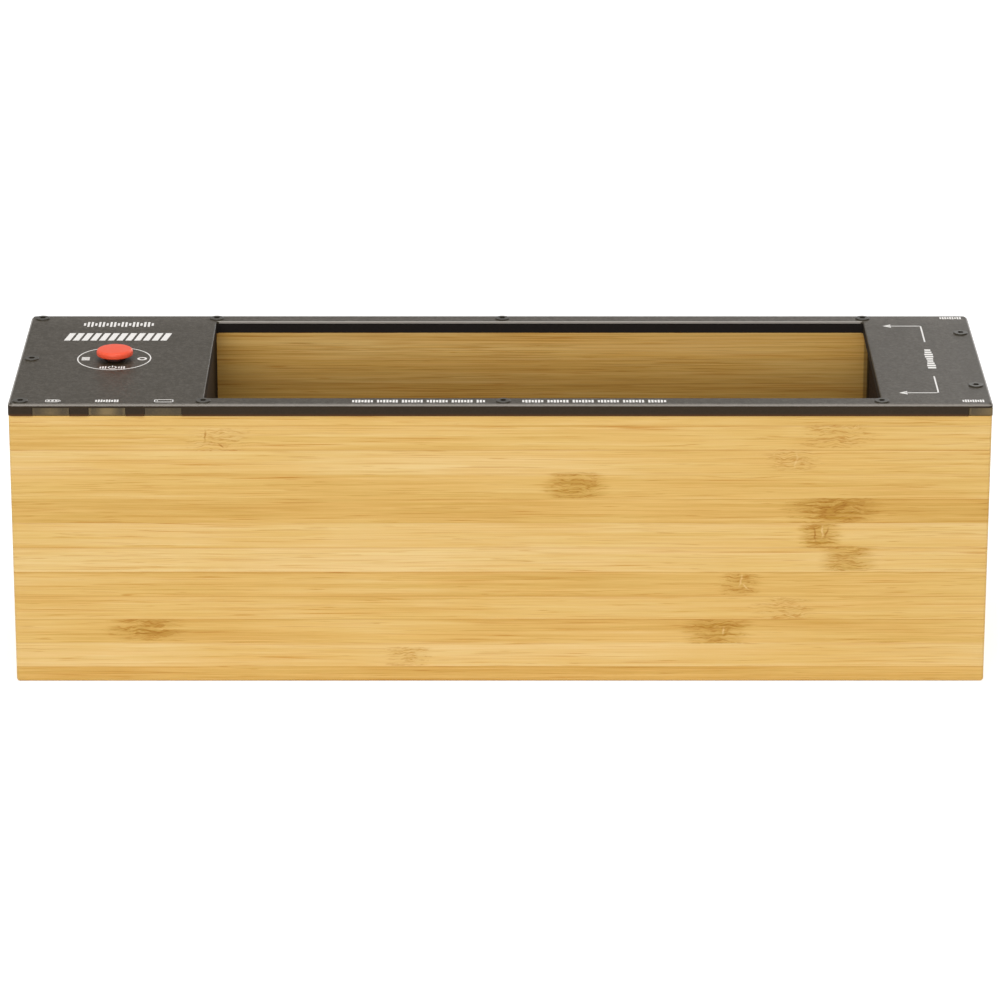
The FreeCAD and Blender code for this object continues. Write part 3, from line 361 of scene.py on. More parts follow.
def bambooFinish(name, along, across, seed, strips=None, knots=(), cracks=(), ends=None,
                 inside=None):
    # ends is where the strips are sawn off, inside where the face behind the slot lies, which gets
    # painted shade
    look = bamboo
    finish = Finish(name, IOR=1.45, Specular_IOR_Level=0.35)
    x, y, z = finish.place()
    axes = {"x": x, "y": y, "z": z}
    run, up = axes.pop(along), axes.pop(across)
    side, = axes.values()
    if strips:
        tone, level, seams = givenStrips(finish, up, strips)
    else:
        tone, level, seams = evenStrips(finish, up, seed)
    lane = level * look["laneStep"] + seed
    ripple = finish.noise(finish.spot(run * 0.012, up * 0.05, seed), detail=1) - 0.5
    wander = up + ripple * look["ripple"]
    if knots:
        streak = finish.spot(run * 0.05, side * 0.3 + lane, up * 1.3)
        streak = finish.noise(streak, detail=3, rough=0.65) - 0.5
        bend, shade, glow = knotFields(run, up, streak, knots)
        curl = finish.noise(finish.spot(run * 0.16, up * 0.12, seed + 3), detail=2) - 0.5
        wander = wander + bend * curl * look["curl"]
    grain = {}
    for kind, (slow, aside, quick, shift, detail, rough) in grains.items():
        spot = finish.spot(run * slow, side * aside + lane + shift, wander * quick)
        grain[kind] = finish.noise(spot, detail=detail, rough=rough)
    fine, hair, thin, gaps = grain["fine"], grain["hair"], grain["thin"], grain["gaps"]
    drift = finish.noise(finish.spot(run * 0.018, lane, up * 0.07), detail=2)

    share = (tone + (fine - 0.5) * look["fibres"] + (grain["dash"] - 0.5) * look["dashes"]
             + (grain["band"] - 0.5) * look["bands"] + (drift - 0.5) * look["drift"])
    colour = finish.ramp(share, [(0, look["pale"]), (0.5, look["light"]), (1, look["dark"])])
    colour = finish.mix(gaps.rise(0.35, 0.65) * 0.6, colour, look["peach"], "MULTIPLY")
    lines = abs(hair - 0.5).rise(0.018, 0.004) * gaps.rise(0.44, 0.60)
    lines = lines.most(abs(thin - 0.5).rise(0.024, 0.006) * gaps.rise(0.58, 0.44) * 0.8)
    lines = lines.most(thin.rise(0.70, 0.78) * 0.6)
    if knots:
        whorl = finish.spot(run * 0.11, wander, seed + 8)
        whorl = finish.noise(whorl, detail=3, rough=0.6)
        lines = lines.most(bend * abs(whorl - 0.53).rise(0.05, 0.005))
        colour = finish.mix(glow * whorl.rise(0.35, 0.6) * 0.7, colour, look["pale"])
        darkened = shade * (whorl.rise(0.2, 0.55) * 0.5 + 0.5)
        colour = finish.mix(darkened, colour, look["knot"], "MULTIPLY")
        bright = bend * abs(whorl - 0.43).rise(0.028, 0.006) * 0.45
        colour = finish.mix(bright, colour, look["light"])
    for spot, high, lean, reach, isDark in cracks:
        wobble = finish.noise(finish.spot(up * 0.55, spot, seed), detail=1) - 0.5
        crack = run - up * lean + wobble * look["crackWobble"]
        crack = crack.hump(spot - high * lean, look["crackWide"]) * up.hump(high, reach)
        if isDark:
            colour = finish.mix(crack * 0.9, colour, look["crack"], "MULTIPLY")
        else:
            colour = finish.mix(crack * 0.8, colour, look["pale"])
    colour = finish.mix(lines, colour, look["line"], "MULTIPLY")
    colour = finish.mix(seams * (gaps * 0.9 + 0.3), colour, look["seam"], "MULTIPLY")
    if ends:
        colour = addSawnEnds(finish, colour, run, y, z, tone, ends)
    if inside:
        colour = addInnerFace(finish, colour, run, side, up, seed, inside)
    return finish.feed(Base_Color=colour, Roughness=look["rough"] + fine * look["roughSpread"],
                       Normal=finish.bump(fine - seams * 0.4, 0.08, look["relief"]))


someKnots = random.Random(5)


def scattered(count, length, height):
    # knots spread over a board, one to a strip
    found = []
    for _ in range(count):
        row = someKnots.randrange(1, int(height / bamboo["strip"]))
        spot = someKnots.uniform(-0.45, 0.45) * length
        width = someKnots.uniform(6, 12)
        depth = someKnots.choice((0.2, 0.5, 0.8))
        found.append((spot, (row + 0.5) * bamboo["strip"], width, 3.2, depth))
    return found


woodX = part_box("front_panel")[1].x / mm
dress(bambooFinish("bambooFront", "x", "z", 1.0, frontStrips, frontKnots, frontCracks, woodX),
      "front_panel")
dress(bambooFinish("bambooRear", "x", "z", 14.0, knots=scattered(8, 240, 70), ends=woodX,
                   inside=slotY), "rear_panel")
dress(bambooFinish("bambooRight", "y", "z", 23.0, knots=scattered(2, 60, 70)), "right_end_panel")
dress(bambooFinish("bambooLeft", "y", "z", 34.0, knots=scattered(3, 60, 70)), "left_end_panel")
dress(bambooFinish("bambooBase", "x", "y", 52.0), "base_panel", "front_batten", "rear_batten")
print("bamboo done")


plateLook = {
    "colour": (0.034, 0.024, 0.009), "edge": (0.022, 0.011, 0.001), "foot": (0.080, 0.028, 0.0),
    "hollow": (0.005, 0.002, 0.0005), "worn": (0.26, 0.230, 0.196), "rearEdgeHighlight": (0.44, 0.41, 0.37),
    "rough": 0.42, "bevel": 0.5, "slotBevel": 0.2, "rearEdgeDepth": 0.6, "footFrom": 2.4, "footTo": 3.15,
    "capShadowY": -1.5, "capShadowOut": 5.6, "capShadowIn": 3.4,
}
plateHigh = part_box("top_plate")[1] / mm


def plateFinish(look):
    finish = Finish("plateBlack", IOR=1.5, Specular_IOR_Level=0.4)
    x, y, z = finish.place()
    spot = finish.spot(x, y, z)
    speck = finish.noise(spot, 1.9, 4, 0.8)
    cloud = finish.noise(spot, 0.035, 2)
    patch = finish.noise(spot, 0.3, 3, 0.6)
    grit = finish.noise(spot, 1.0, 2, 0.7)
    below = plateHigh.z - z
    flank = below > look["bevel"] + 0.05

    # the slot's own walls are blackened with painted shade, and the outer edge carries a warm
    # painted reflection of the wood where it meets the wood
    hollow = (abs(y) < slotY + 0.05) * (x > slotLeft - 0.05) * (x < slotRight + 0.05)
    warm = below.rise(look["footFrom"], look["footTo"])
    flankColour = finish.mix(warm, look["edge"], look["foot"])
    flankColour = finish.mix(hollow, flankColour, look["hollow"])

    # the top is dusty in specks and patches, lighter towards its rear and darker at its right end;
    # round the cap's foot a painted shadow of the cap takes the dust away and darkens it
    dust = (speck.rise(0.42, 0.72) * 0.32 + cloud * 0.03 + (patch - 0.5) * 0.15
            + (grit - 0.5) * 0.65)
    dust = dust + y.rise(26, 38) * 0.12 - x.rise(117, 124) * 0.07
    capShadow = ((x - buttonX) ** 2 + (y - look["capShadowY"]) ** 2) ** 0.5
    capShadow = capShadow.rise(look["capShadowOut"], look["capShadowIn"])
    colour = finish.mix(dust * (1 - capShadow * 0.8), look["colour"], look["worn"])
    colour = finish.mix(capShadow * 0.45, colour, look["hollow"])
    colour = finish.mix(flank, colour, flankColour)

    # the outer bevels are lighter, as wear from handling and as a painted highlight, most at their
    # lower side
    beyondX = abs(x) - (plateHigh.x - look["bevel"])
    beyondY = abs(y) - (plateHigh.y - look["bevel"])
    cut = below > 0.01
    outside = (beyondX.most(beyondY) > 0) * cut * (below < look["bevel"] + 0.02)
    bevelWearAndHighlight = outside * (0.35 + speck * 0.6) * (0.85 + below.rise(0.1, 0.4) * 0.5)
    colour = finish.mix(bevelWearAndHighlight, colour, look["worn"])

    # of the slot's edges the rear one has a painted highlight, the left one is darkened by painted
    # shade
    middle, half = (slotLeft + slotRight) / 2, (slotRight - slotLeft) / 2
    rearEdge = (cut * (below < look["rearEdgeDepth"]) * (y > slotY - 0.01)
                * (y < slotY + look["slotBevel"]) * (abs(x - middle) < half))
    leftEdge = (cut * (below < look["slotBevel"] + 0.02) * (x < slotLeft + 0.01)
                * (x > slotLeft - look["slotBevel"]) * (abs(y) < slotY))
    colour = finish.mix(rearEdge * 0.85, colour, look["rearEdgeHighlight"])
    colour = finish.mix(leftEdge * 0.5, colour, look["hollow"])
    rough = look["rough"] + (speck - 0.5) * 0.35 - outside * 0.08 + flank * 0.35
    return finish.feed(Base_Color=colour, Roughness=rough, Normal=finish.bump(speck, 0.5, 0.08))


dress(plateFinish(plateLook), "top_plate")
print("plate done")


printLook = {"thick": 0.03, "sunk": 0.02, "arrow": 0.4, "icon": 0.28,
             "colour": (0.96, 0.93, 0.89), "worn": (0.55, 0.52, 0.48)}

# sound level bars in place of words: left, right, front, rear, how many, share of ink,
# how much their heights swing, the size of a group and their lean
barRows = [
    (buttonX - 3.6, buttonX - 1.6, -8.5, -6.5, 3, 0.6, 0.3, 0, 0),
    (buttonX + 1.2, buttonX + 3.2, -8.5, -6.5, 3, 0.6, 0.3, 0, 0),
    (-114.6, -86.9, 15.8, 22.2, 12, 0.70, 0, 0, 0.18),
    (-110.8, -91.8, 27.6, 32.4, 19, 0.56, 0.55, 0, 0),
    (-103.0, -96.9, -36.3, -34.2, 9, 0.68, 0.3, 0, 0),
    (-37.8, -3.8, -36.6, -34.4, 43, 0.68, 0.25, 8, 0),
    (5.4, 42.2, -36.6, -34.4, 46, 0.68, 0.25, 8, 0),
    (117.3, 123.0, -36.3, -34.2, 9, 0.68, 0.3, 0, 0),
    (117.4, 123.3, 34.7, 36.8, 9, 0.68, 0.3, 0, 0),
]


def flat(x0, x1, y0, y1, lean=0.0):
    # one filled rectangle, or a slanted one; centre, size and slant as a matrix
    wide, deep = x1 - x0, y1 - y0
    shear = Matrix(((wide, lean * deep, 0, (x0 + x1) / 2), (0, deep, 0, (y0 + y1) / 2),
                    (0, 0, 1, 0), (0, 0, 0, 1)))
    bmesh.ops.create_grid(ink, x_segments=1, y_segments=1, size=0.5, matrix=shear)


def ring(x, y, radius, line, start=0.0, sweep=360.0, steps=96):
    # a band swept round a centre
    a, b = [ink.verts.new((x + r * cos(radians(start)), y + r * sin(radians(start)), 0))
            for r in (radius - line / 2, radius + line / 2)]
    edge = ink.edges.new((a, b))
    bmesh.ops.spin(ink, geom=[a, b, edge], cent=(x, y, 0), axis=(0, 0, 1), angle=radians(sweep),
                   steps=steps, use_merge=sweep >= 360, use_duplicate=False)


def stroke(points, line):
    # a line through points with square corners
    for (x0, y0), (x1, y1) in zip(points, points[1:]):
        length = sqrt((x1 - x0) ** 2 + (y1 - y0) ** 2)
        along = Vector((x1 - x0, y1 - y0, 0)) / length
        turn = Matrix(((along.x, -along.y, 0, (x0 + x1) / 2), (along.y, along.x, 0, (y0 + y1) / 2),
                       (0, 0, 1, 0), (0, 0, 0, 1)))
        size = Matrix.Diagonal((length + line, line, 1, 1))
        bmesh.ops.create_grid(ink, x_segments=1, y_segments=1, size=0.5, matrix=turn @ size)


def outline(x, y, long, wide, line):
    # an empty rectangle
    left, right, front, rear = x - long / 2, x + long / 2, y - wide / 2, y + wide / 2
    stroke([(left, front), (right, front), (right, rear), (left, rear), (left, front)], line)


def head(x, y, long, wide):
    # an arrow's head that points to -X
    seat = (Matrix.Translation((x + long * 2 / 3, y, 0))
            @ Matrix.Diagonal((-long * 2 / 3, wide / sqrt(3), 1, 1))
            @ Matrix.Rotation(-pi / 2, 4, "Z"))
    bmesh.ops.create_circle(ink, cap_ends=True, segments=3, radius=1, matrix=seat)


def bars(x0, x1, y0, y1, count, share, swing, group, lean):
    # the last bar of each group is left out
    step = (x1 - x0) / count
    middle = (y0 + y1) / 2
    for i in range(count):
        if group and i % group == group - 1:
            continue
        half = (y1 - y0) * (1 - swing * (0.5 + 0.5 * cos(i * 2.1))) / 2
        centre = x0 + (i + 0.5) * step
        reach = step * share / 2
        flat(centre - reach, centre + reach, middle - half, middle + half, lean)


def smallPhone(x, y, long, wide):
    outline(x, y, long, wide, printLook["icon"])
    flat(x - long / 2 + 0.5, x - long / 2 + 0.8, y - 0.25, y + 0.25)


def smallBattery(x, y, long, wide):
    outline(x, y, long, wide, printLook["icon"])
    flat(x + long / 2, x + long / 2 + 0.45, y - 0.35, y + 0.35)
    for i in range(3):
        left = x - long / 2 + 0.45 + i * 0.95
        flat(left, left + 0.6, y - 0.42, y + 0.42)


def buttonMarks(x):
    # a ring with an on mark, an off mark and a power sign
    ring(x - 0.2, 0.1, 9.48, 0.32)
    for i in (-1, 0, 1):
        flat(x - 8.65, x - 6.55, i * 0.95 - 0.32, i * 0.95 + 0.32)
    ring(x + 7.1, 0, 1.0, 0.55, steps=24)
    ring(x - 0.2, -7.5, 1.0, 0.34, 120, 300, 24)
    flat(x - 0.37, x - 0.03, -7.4, -6.1)


def arrows():
    # two arrows to the slot's end, and crossbars of slightly uneven length between them
    for sign, inner in ((1, 14.8), (-1, 15.0)):
        reach = 28.6 * sign
        stroke([(103.4, reach), (111.85, reach), (111.85, inner * sign)], printLook["arrow"])
        head(101.8, reach, 2.1, 2.7)
    for i in range(9):
        half = (1.9 + 0.35 * sin(i * 1.3 + 0.6)) / 2
        across = -7.6 + i * 1.88
        flat(111.95 - half, 111.95 + half, across - 0.62, across + 0.62)


ink = bmesh.new()
buttonMarks(buttonX)
for row in barRows:
    bars(*row)
smallBattery(-113.8, -35.2, 3.3, 1.7)
smallPhone(-85.5, -35.2, 4.6, 1.9)
arrows()

grown = bmesh.ops.extrude_face_region(ink, geom=ink.faces[:])
raised = [item for item in grown["geom"] if isinstance(item, bmesh.types.BMVert)]
bmesh.ops.translate(ink, verts=raised, vec=(0, 0, printLook["thick"] + printLook["sunk"]))
bmesh.ops.recalc_face_normals(ink, faces=ink.faces)
seat = Matrix.Translation((0, 0, plateHigh.z - printLook["sunk"]))
bmesh.ops.transform(ink, matrix=Matrix.Diagonal((mm, mm, mm, 1)) @ seat, verts=ink.verts)


def printFinish(look):
    finish = Finish("printWhite", IOR=1.45, Specular_IOR_Level=0.3)
    wear = finish.noise(finish.here(), 1.6, 3, 0.6)
    colour = finish.mix(wear.rise(0.62, 0.8) * 0.25, look["colour"], look["worn"])
    return finish.feed(Base_Color=colour, Roughness=0.45 + wear * 0.15,
                       Normal=finish.bump(wear, 0.1, 0.02))


addPiece("platePrint", ink, printFinish(printLook), smooth=False)
print("print done")


capLook = {
    "colour": (1.0, 0.105, 0.040), "dusty": (0.95, 0.30, 0.20), "dome": 0.12, "soft": 0.85,
    "wall": 0.7, "socket": 2.4, "foot": 0.35, "footFlat": 0.5, "steps": 64,
}
capLow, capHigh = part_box("button_cap")


def capFinish(look):
    finish = Finish("capRed", IOR=1.46)
    spot = finish.here()
    grain = finish.noise(spot, 3.5, 3, 0.6)
    dust = finish.noise(spot, 0.9, 2)
    colour = finish.mix(dust.rise(0.45, 0.75) * 0.10, look["colour"], look["dusty"])
    return finish.feed(Base_Color=colour, Roughness=0.34 + grain * 0.14,
                       Normal=finish.bump(grain, 0.08, 0.02))


def capOutline(look):
    # (radius, height) from the middle of the socket's ceiling round to the top's middle
    radius = (capHigh.x - capLow.x) / 2
    low, high = capLow.z, capHigh.z
    ceiling, socket = low + look["wall"] * mm, look["socket"] * mm
    foot, soft, dome = look["foot"] * mm, look["soft"] * mm, look["dome"] * mm
    points = [(0, ceiling), (socket, ceiling), (socket, low), (radius - look["footFlat"] * mm, low)]
    for i in range(5):       # lower edge, a small round
        angle = -pi / 2 + i * pi / 8
        points.append((radius - foot + foot * cos(angle), low + foot * (1 + sin(angle))))
    for i in range(9):       # upper edge, a large one
        angle = i * pi / 16
        points.append((radius - soft + soft * cos(angle), high - dome - soft + soft * sin(angle)))
    for i in range(1, 9):    # crowned top
        share = 1 - i / 8
        points.append(((radius - soft) * share, high - dome * share ** 2))
    return points


def makeCap(look):
    # the outline is turned about the button's standing axis
    centre = Vector(((capLow.x + capHigh.x) / 2, (capLow.y + capHigh.y) / 2, 0))
    bm = bmesh.new()
    line = [bm.verts.new((centre.x + r, centre.y, h)) for r, h in capOutline(look)]
    edges = [bm.edges.new(pair) for pair in zip(line, line[1:])]
    bmesh.ops.spin(bm, geom=line + edges, cent=centre, axis=(0, 0, 1), angle=2 * pi,
                   steps=look["steps"], use_merge=True, use_duplicate=False)
    bmesh.ops.remove_doubles(bm, verts=bm.verts, dist=1e-6)
    bmesh.ops.recalc_face_normals(bm, faces=bm.faces)
    addPiece("redCap", bm, capFinish(look), "button", replaces=("button_cap",))


makeCap(capLook)
print("button done")


windowLook = {
    "clear": (0.200, 0.142, 0.058), "dim": (0.055, 0.037, 0.013), "foot": (0.155, 0.080, 0.010),
    "width": 9.3, "core": 3.4, "halo": 5.6, "cornerEnd": 119.1, "footFrom": 2.5, "footTo": 3.1,
}
# middle along the edge and how strong its painted glow is; the corner windows share one finish
windowPlaces = {"battery_window": (-114.05, 0.46), "active_window": (-99.8, 1.0),
                "in_use_window": (-85.55, 0.15)}
cornerGlow = 0.55


def windowFinish(look, name, clear, centre=None):
    finish = Finish(name, IOR=1.49, Specular_IOR_Level=0.45)
    x, y, z = finish.place()
    frost = finish.noise(finish.spot(x, y, z), 1.8, 3, 0.6)
    if centre is None:
        # a corner window has a painted glow at its cut end and more towards the corner
        glow = (x - look["cornerEnd"]).rise(0.5, 0.2) * 0.5 + x.rise(119, 125) * 1.1 + 0.2
    else:
        # a painted glow in the middle stands in for the light behind, and the cut ends get some
        # painted glow too
        half = look["width"] / 2
        ends = abs(x - centre).rise(half - 0.9, half - 0.3)
        glow = (x.hump(centre, look["core"]) * 0.75 + x.hump(centre, look["halo"]) * 0.35
                + ends * 0.45)
    colour = finish.mix(glow * clear + (frost - 0.5) * 0.6, look["dim"], look["clear"])
    # a warm painted shade line along the window's foot, where it meets the wood
    warm = (plateHigh.z - z).rise(look["footFrom"], look["footTo"])
    colour = finish.mix(warm * 0.7, colour, look["foot"])
    return finish.feed(Base_Color=colour, Roughness=0.38 + frost * 0.2,
                       Normal=finish.bump(frost, 0.12, 0.03))


for name, (centre, clear) in windowPlaces.items():
    dress(windowFinish(windowLook, name + "Smoke", clear, centre), name)
dress(windowFinish(windowLook, "cornerSmoke", cornerGlow),
      "front_corner_window", "rear_corner_window")
print("windows done")


clothLook = {
    "colour": (0.034, 0.025, 0.017), "thread": (0.105, 0.074, 0.052),
    "shaded": (0.006, 0.004, 0.003), "shadeFrom": 29.5, "shadeTo": 32.5,
    "pitch": 0.62, "cells": 90, "sag": 0.12, "thick": 0.25, "fixing": 4,
}
clothLow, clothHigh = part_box("emitter_cloth")


def clothFinish(look):
    # a plain weave, in shadow along both upright edges
    finish = Finish("acousticCloth", IOR=1.4, Specular_IOR_Level=0.05)
    x, y, z = finish.place()
    turn = 2 * pi / look["pitch"]
    over = (y * turn).wave() * (z * turn).wave() * 0.5 + 0.5
    fuzz = finish.noise(finish.spot(x, y, z), 1.4, 3, 0.65)
    colour = finish.mix(over * 0.6 + (fuzz - 0.5) * 1.5, look["colour"], look["thread"])
    edge = abs(y).rise(look["shadeFrom"], look["shadeTo"])
    colour = finish.mix(edge * 0.75, colour, look["shaded"])
    return finish.feed(Base_Color=colour, Roughness=0.82 + fuzz * 0.12,
                       Normal=finish.bump(over + fuzz * 0.6, 0.5, 0.12))


def makeCloth(look):
    low, high, fixing = clothLow / mm, clothHigh / mm, look["fixing"]
    wide, tall = clothHigh.y - clothLow.y, clothHigh.z - clothLow.z
    thick, sag = look["thick"] * mm, look["sag"] * mm
    middle = (0, (clothLow.y + clothHigh.y) / 2, (clothLow.z + clothHigh.z) / 2)
    stand = (Matrix.Translation(middle) @ Matrix.Rotation(pi / 2, 4, "Y")
             @ Matrix.Diagonal((tall, wide, 1, 1)))
    bm = bmesh.new()
    bmesh.ops.create_grid(bm, x_segments=look["cells"], y_segments=look["cells"], size=0.5,
                          matrix=stand)
    for vert in bm.verts:      # stretched, with the faintest waves between its fixings
        y, z = vert.co.y / mm, vert.co.z / mm
        wave = 0.5 + 0.3 * sin(y * 0.21 + 0.6 * sin(z * 0.13)) + 0.2 * sin(z * 0.33 + y * 0.05)
        free = min(1, (slotY - abs(y)) / fixing, (high.z - z) / fixing, (z - low.z) / fixing)
        vert.co.x = clothHigh.x - thick - sag * wave * max(0, free)
    bmesh.ops.recalc_face_normals(bm, faces=bm.faces)
    piece = addPiece("wallCloth", bm, clothFinish(look), replaces=("emitter_cloth",))
    body = piece.modifiers.new("thickness", "SOLIDIFY")
    body.thickness, body.offset = thick * 0.9, 0


makeCloth(clothLook)
print("cloth done")


matLook = {"colour": (0.030, 0.028, 0.026), "dusty": (0.075, 0.068, 0.06),
           "ribs": 43, "rib": 0.35, "ribTaper": 0.12}
matLow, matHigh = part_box("phone_mat")


def matFinish(look):
    finish = Finish("foamRubber", IOR=1.45, Specular_IOR_Level=0.25)
    spot = finish.here()
    pores = finish.noise(spot, 2.2, 3, 0.65)
    dust = finish.noise(spot, 0.12, 3)
    colour = finish.mix(dust.rise(0.4, 0.8) * 0.4, look["colour"], look["dusty"])
    return finish.feed(Base_Color=colour, Roughness=0.72 + pores * 0.18,
                       Normal=finish.bump(pores, 0.35, 0.06))


def makeMat(look):
    # a sheet whose top is cut into lanes, every second one raised as a rib
    size = matHigh - matLow
    middle = (matLow + matHigh) / 2
    lanes = look["ribs"] * 2 + 1
    rib = look["rib"] * mm
    bm = bmesh.new()
    bmesh.ops.create_cube(bm, size=1, matrix=Matrix.Translation(middle)
                          @ Matrix.Diagonal((*size, 1)))
    upper = [vert for vert in bm.verts if vert.co.z > middle.z]
    bmesh.ops.translate(bm, verts=upper, vec=(0, 0, -rib))
    for i in range(1, lanes):
        cut = matLow.y + size.y * i / lanes
        bmesh.ops.bisect_plane(bm, geom=bm.verts[:] + bm.edges[:] + bm.faces[:], dist=1e-7,
                               plane_co=(0, cut, 0), plane_no=(0, 1, 0))
    top = sorted((face for face in bm.faces if face.normal.z > 0.9),
                 key=lambda face: face.calc_center_median().y)
    ribs = top[1::2]
    bmesh.ops.inset_individual(bm, faces=ribs, thickness=look["ribTaper"] * mm)
    crests = list({vert for face in ribs for vert in face.verts})
    bmesh.ops.translate(bm, verts=crests, vec=(0, 0, rib))
    bmesh.ops.recalc_face_normals(bm, faces=bm.faces)
    addPiece("ribbedMat", bm, matFinish(look), smooth=False, replaces=("phone_mat",))


makeMat(matLook)
print("mat done")


def plainFinish(name, colour, second, rough, grain=2.0, spread=0.5, depth=0.04, strength=0.2,
                metal=0.0):
    # one material with a mottled colour and a fine relief
    finish = Finish(name, Metallic=metal)
    spot = finish.here()
    fine = finish.noise(spot, grain, 4, 0.6)
    broad = finish.noise(spot, grain * 0.12, 2)
    share = (fine - 0.5) * spread + (broad - 0.5) * spread + 0.35
    return finish.feed(Base_Color=finish.mix(share, colour, second),
                       Roughness=rough + (fine - 0.5) * 0.25,
                       Normal=finish.bump(fine, strength, depth))


# the two colours that are mottled, the other values of plainFinish, and what wears it
plainLooks = {
    "screwBlack": ((0.020, 0.016, 0.009), (0.080, 0.066, 0.045),
                   dict(rough=0.33, grain=3.5, spread=0.7, depth=0.02, strength=0.15),
                   ["plate_screws", "bezel_screws"]),
    "bezelBlack": ((0.022, 0.021, 0.020), (0.045, 0.042, 0.039), dict(rough=0.5, grain=3),
                   ["charge_bezel"]),
    "plasticBlack": ((0.016, 0.016, 0.017), (0.035, 0.034, 0.034), dict(rough=0.48, grain=2.6),
                     ["switch_housing"]),
    "plungerBrown": ((0.060, 0.022, 0.014), (0.090, 0.036, 0.024), dict(rough=0.48, grain=2.6),
                     ["button_plunger"]),
    "strapBlack": ((0.030, 0.030, 0.031), (0.055, 0.054, 0.052),
                   dict(rough=0.55, grain=1.8, depth=0.06, strength=0.3), ["battery_strap"]),
    "zincSteel": ((0.50, 0.50, 0.51), (0.66, 0.66, 0.66),
                  dict(rough=0.28, grain=2.2, spread=0.6, depth=0.02, strength=0.12, metal=1),
                  ["switch_lid", "board_screws", "strap_screws", "charge_socket",
                   "charge_board_screws", "front_emitter_frame", "rear_emitter_frame",
                   "emitter_screws"]),
    "turnedBrass": ((0.58, 0.42, 0.16), (0.74, 0.57, 0.27),
                    dict(rough=0.3, grain=2.6, depth=0.02, strength=0.12, metal=1), ["standoffs"]),
    "chipBlack": ((0.018, 0.018, 0.020), (0.038, 0.038, 0.042), dict(rough=0.55, grain=4),
                  ["controller_chip", "amplifier_chip"]),
    "canAluminium": ((0.62, 0.63, 0.65), (0.76, 0.77, 0.79),
                     dict(rough=0.25, grain=2.4, depth=0.02, strength=0.1, metal=1),
                     ["capacitor"]),
    "nylonPale": ((0.72, 0.69, 0.60), (0.84, 0.81, 0.74), dict(rough=0.42, grain=1.6),
                  ["board_connectors"]),
    "lightEpoxy": ((0.80, 0.78, 0.62), (0.90, 0.88, 0.78), dict(rough=0.2, grain=1.5, spread=0.4),
                   ["battery_light", "active_light", "in_use_light", "front_corner_light",
                    "rear_corner_light"]),
    "fibreboardBlack": ((0.030, 0.024, 0.019), (0.070, 0.054, 0.042),
                        dict(rough=0.75, grain=2.2, spread=0.9, depth=0.1, strength=0.4),
                        ["floor_board", "emitter_baffle"]),
    "paperCone": ((0.030, 0.030, 0.032), (0.066, 0.064, 0.064),
                  dict(rough=0.8, grain=2.4, spread=0.9, depth=0.08, strength=0.5),
                  ["front_emitter_cone", "rear_emitter_cone"]),
    "ferrite": ((0.09, 0.09, 0.095), (0.17, 0.17, 0.175),
                dict(rough=0.6, grain=2.4, spread=0.8, depth=0.06, strength=0.3, metal=0.4),
                ["front_emitter_magnet", "rear_emitter_magnet"]),
    "foamGasket": ((0.026, 0.026, 0.027), (0.055, 0.054, 0.053),
                   dict(rough=0.88, grain=3.4, spread=1.0, depth=0.12, strength=0.6),
                   ["emitter_gasket"]),
    "leadJacket": ((0.020, 0.020, 0.021), (0.045, 0.043, 0.042), dict(rough=0.45, grain=1.8),
                   ["battery_lead", "charge_lead", "front_emitter_lead", "rear_emitter_lead"]),
}

for name, (colour, second, values, wearers) in plainLooks.items():
    dress(plainFinish(name, colour, second, **values), *wearers)


boardLook = {"lacquer": (0.008, 0.085, 0.03), "track": (0.022, 0.17, 0.062),
             "pad": (0.62, 0.47, 0.2)}


def boardFinish(look):
    # green lacquer with tracks and pads under it
    finish = Finish("boardGreen", IOR=1.5, Specular_IOR_Level=0.5)
    spot = finish.here()
    cell = finish.node("TexBrick", {"offset": 0.5, "squash": 1}, {
        "Vector": spot, "Scale": 0.34, "Mortar Size": 0.05, "Mortar Smooth": 0.1,
        "Brick Width": 0.9, "Row Height": 0.32}, "Fac")
    pads = finish.node("TexVoronoi", {}, {"Vector": spot, "Scale": 0.42}).rise(0.17, 0.12)
    fine = finish.noise(spot, 3, 3)
    colour = finish.mix(cell * 0.7 + (fine - 0.5) * 0.2, look["lacquer"], look["track"])
    colour = finish.mix(pads, colour, look["pad"])
    return finish.feed(Base_Color=colour, Roughness=0.36 + fine * 0.1 + pads * 0.05,
                       Normal=finish.bump(cell * 0.5 + pads, 0.2, 0.05))


dress(boardFinish(boardLook), "main_board", "front_light_board", "rear_light_board",
      "charge_board")


partitionLook = {"colour": (0.042, 0.030, 0.019), "second": (0.098, 0.072, 0.048),
                 "rear": (0.004, 0.002, 0.001), "rearFrom": 12, "rearTo": 25}


def partitionFinish(look):
    # stained fibreboard, blacker towards its rear edge by painted shade
    finish = Finish("fibreboardStained", Specular_IOR_Level=0.15)
    x, y, z = finish.place()
    fine = finish.noise(finish.spot(x, y, z), 2.2, 4, 0.6)
    colour = finish.mix((fine - 0.5) * 0.9 + 0.35, look["colour"], look["second"])
    rearShade = y.rise(look["rearFrom"], look["rearTo"])
    colour = finish.mix(rearShade * 0.92, colour, look["rear"])
    return finish.feed(Base_Color=colour, Roughness=0.75 + (fine - 0.5) * 0.25,
                       Normal=finish.bump(fine, 0.4, 0.1))


dress(partitionFinish(partitionLook), "left_partition")


sleeveLook = {"colour": (0.012, 0.075, 0.30), "second": (0.03, 0.14, 0.44),
              "foldFrom": 18, "foldTo": 25}


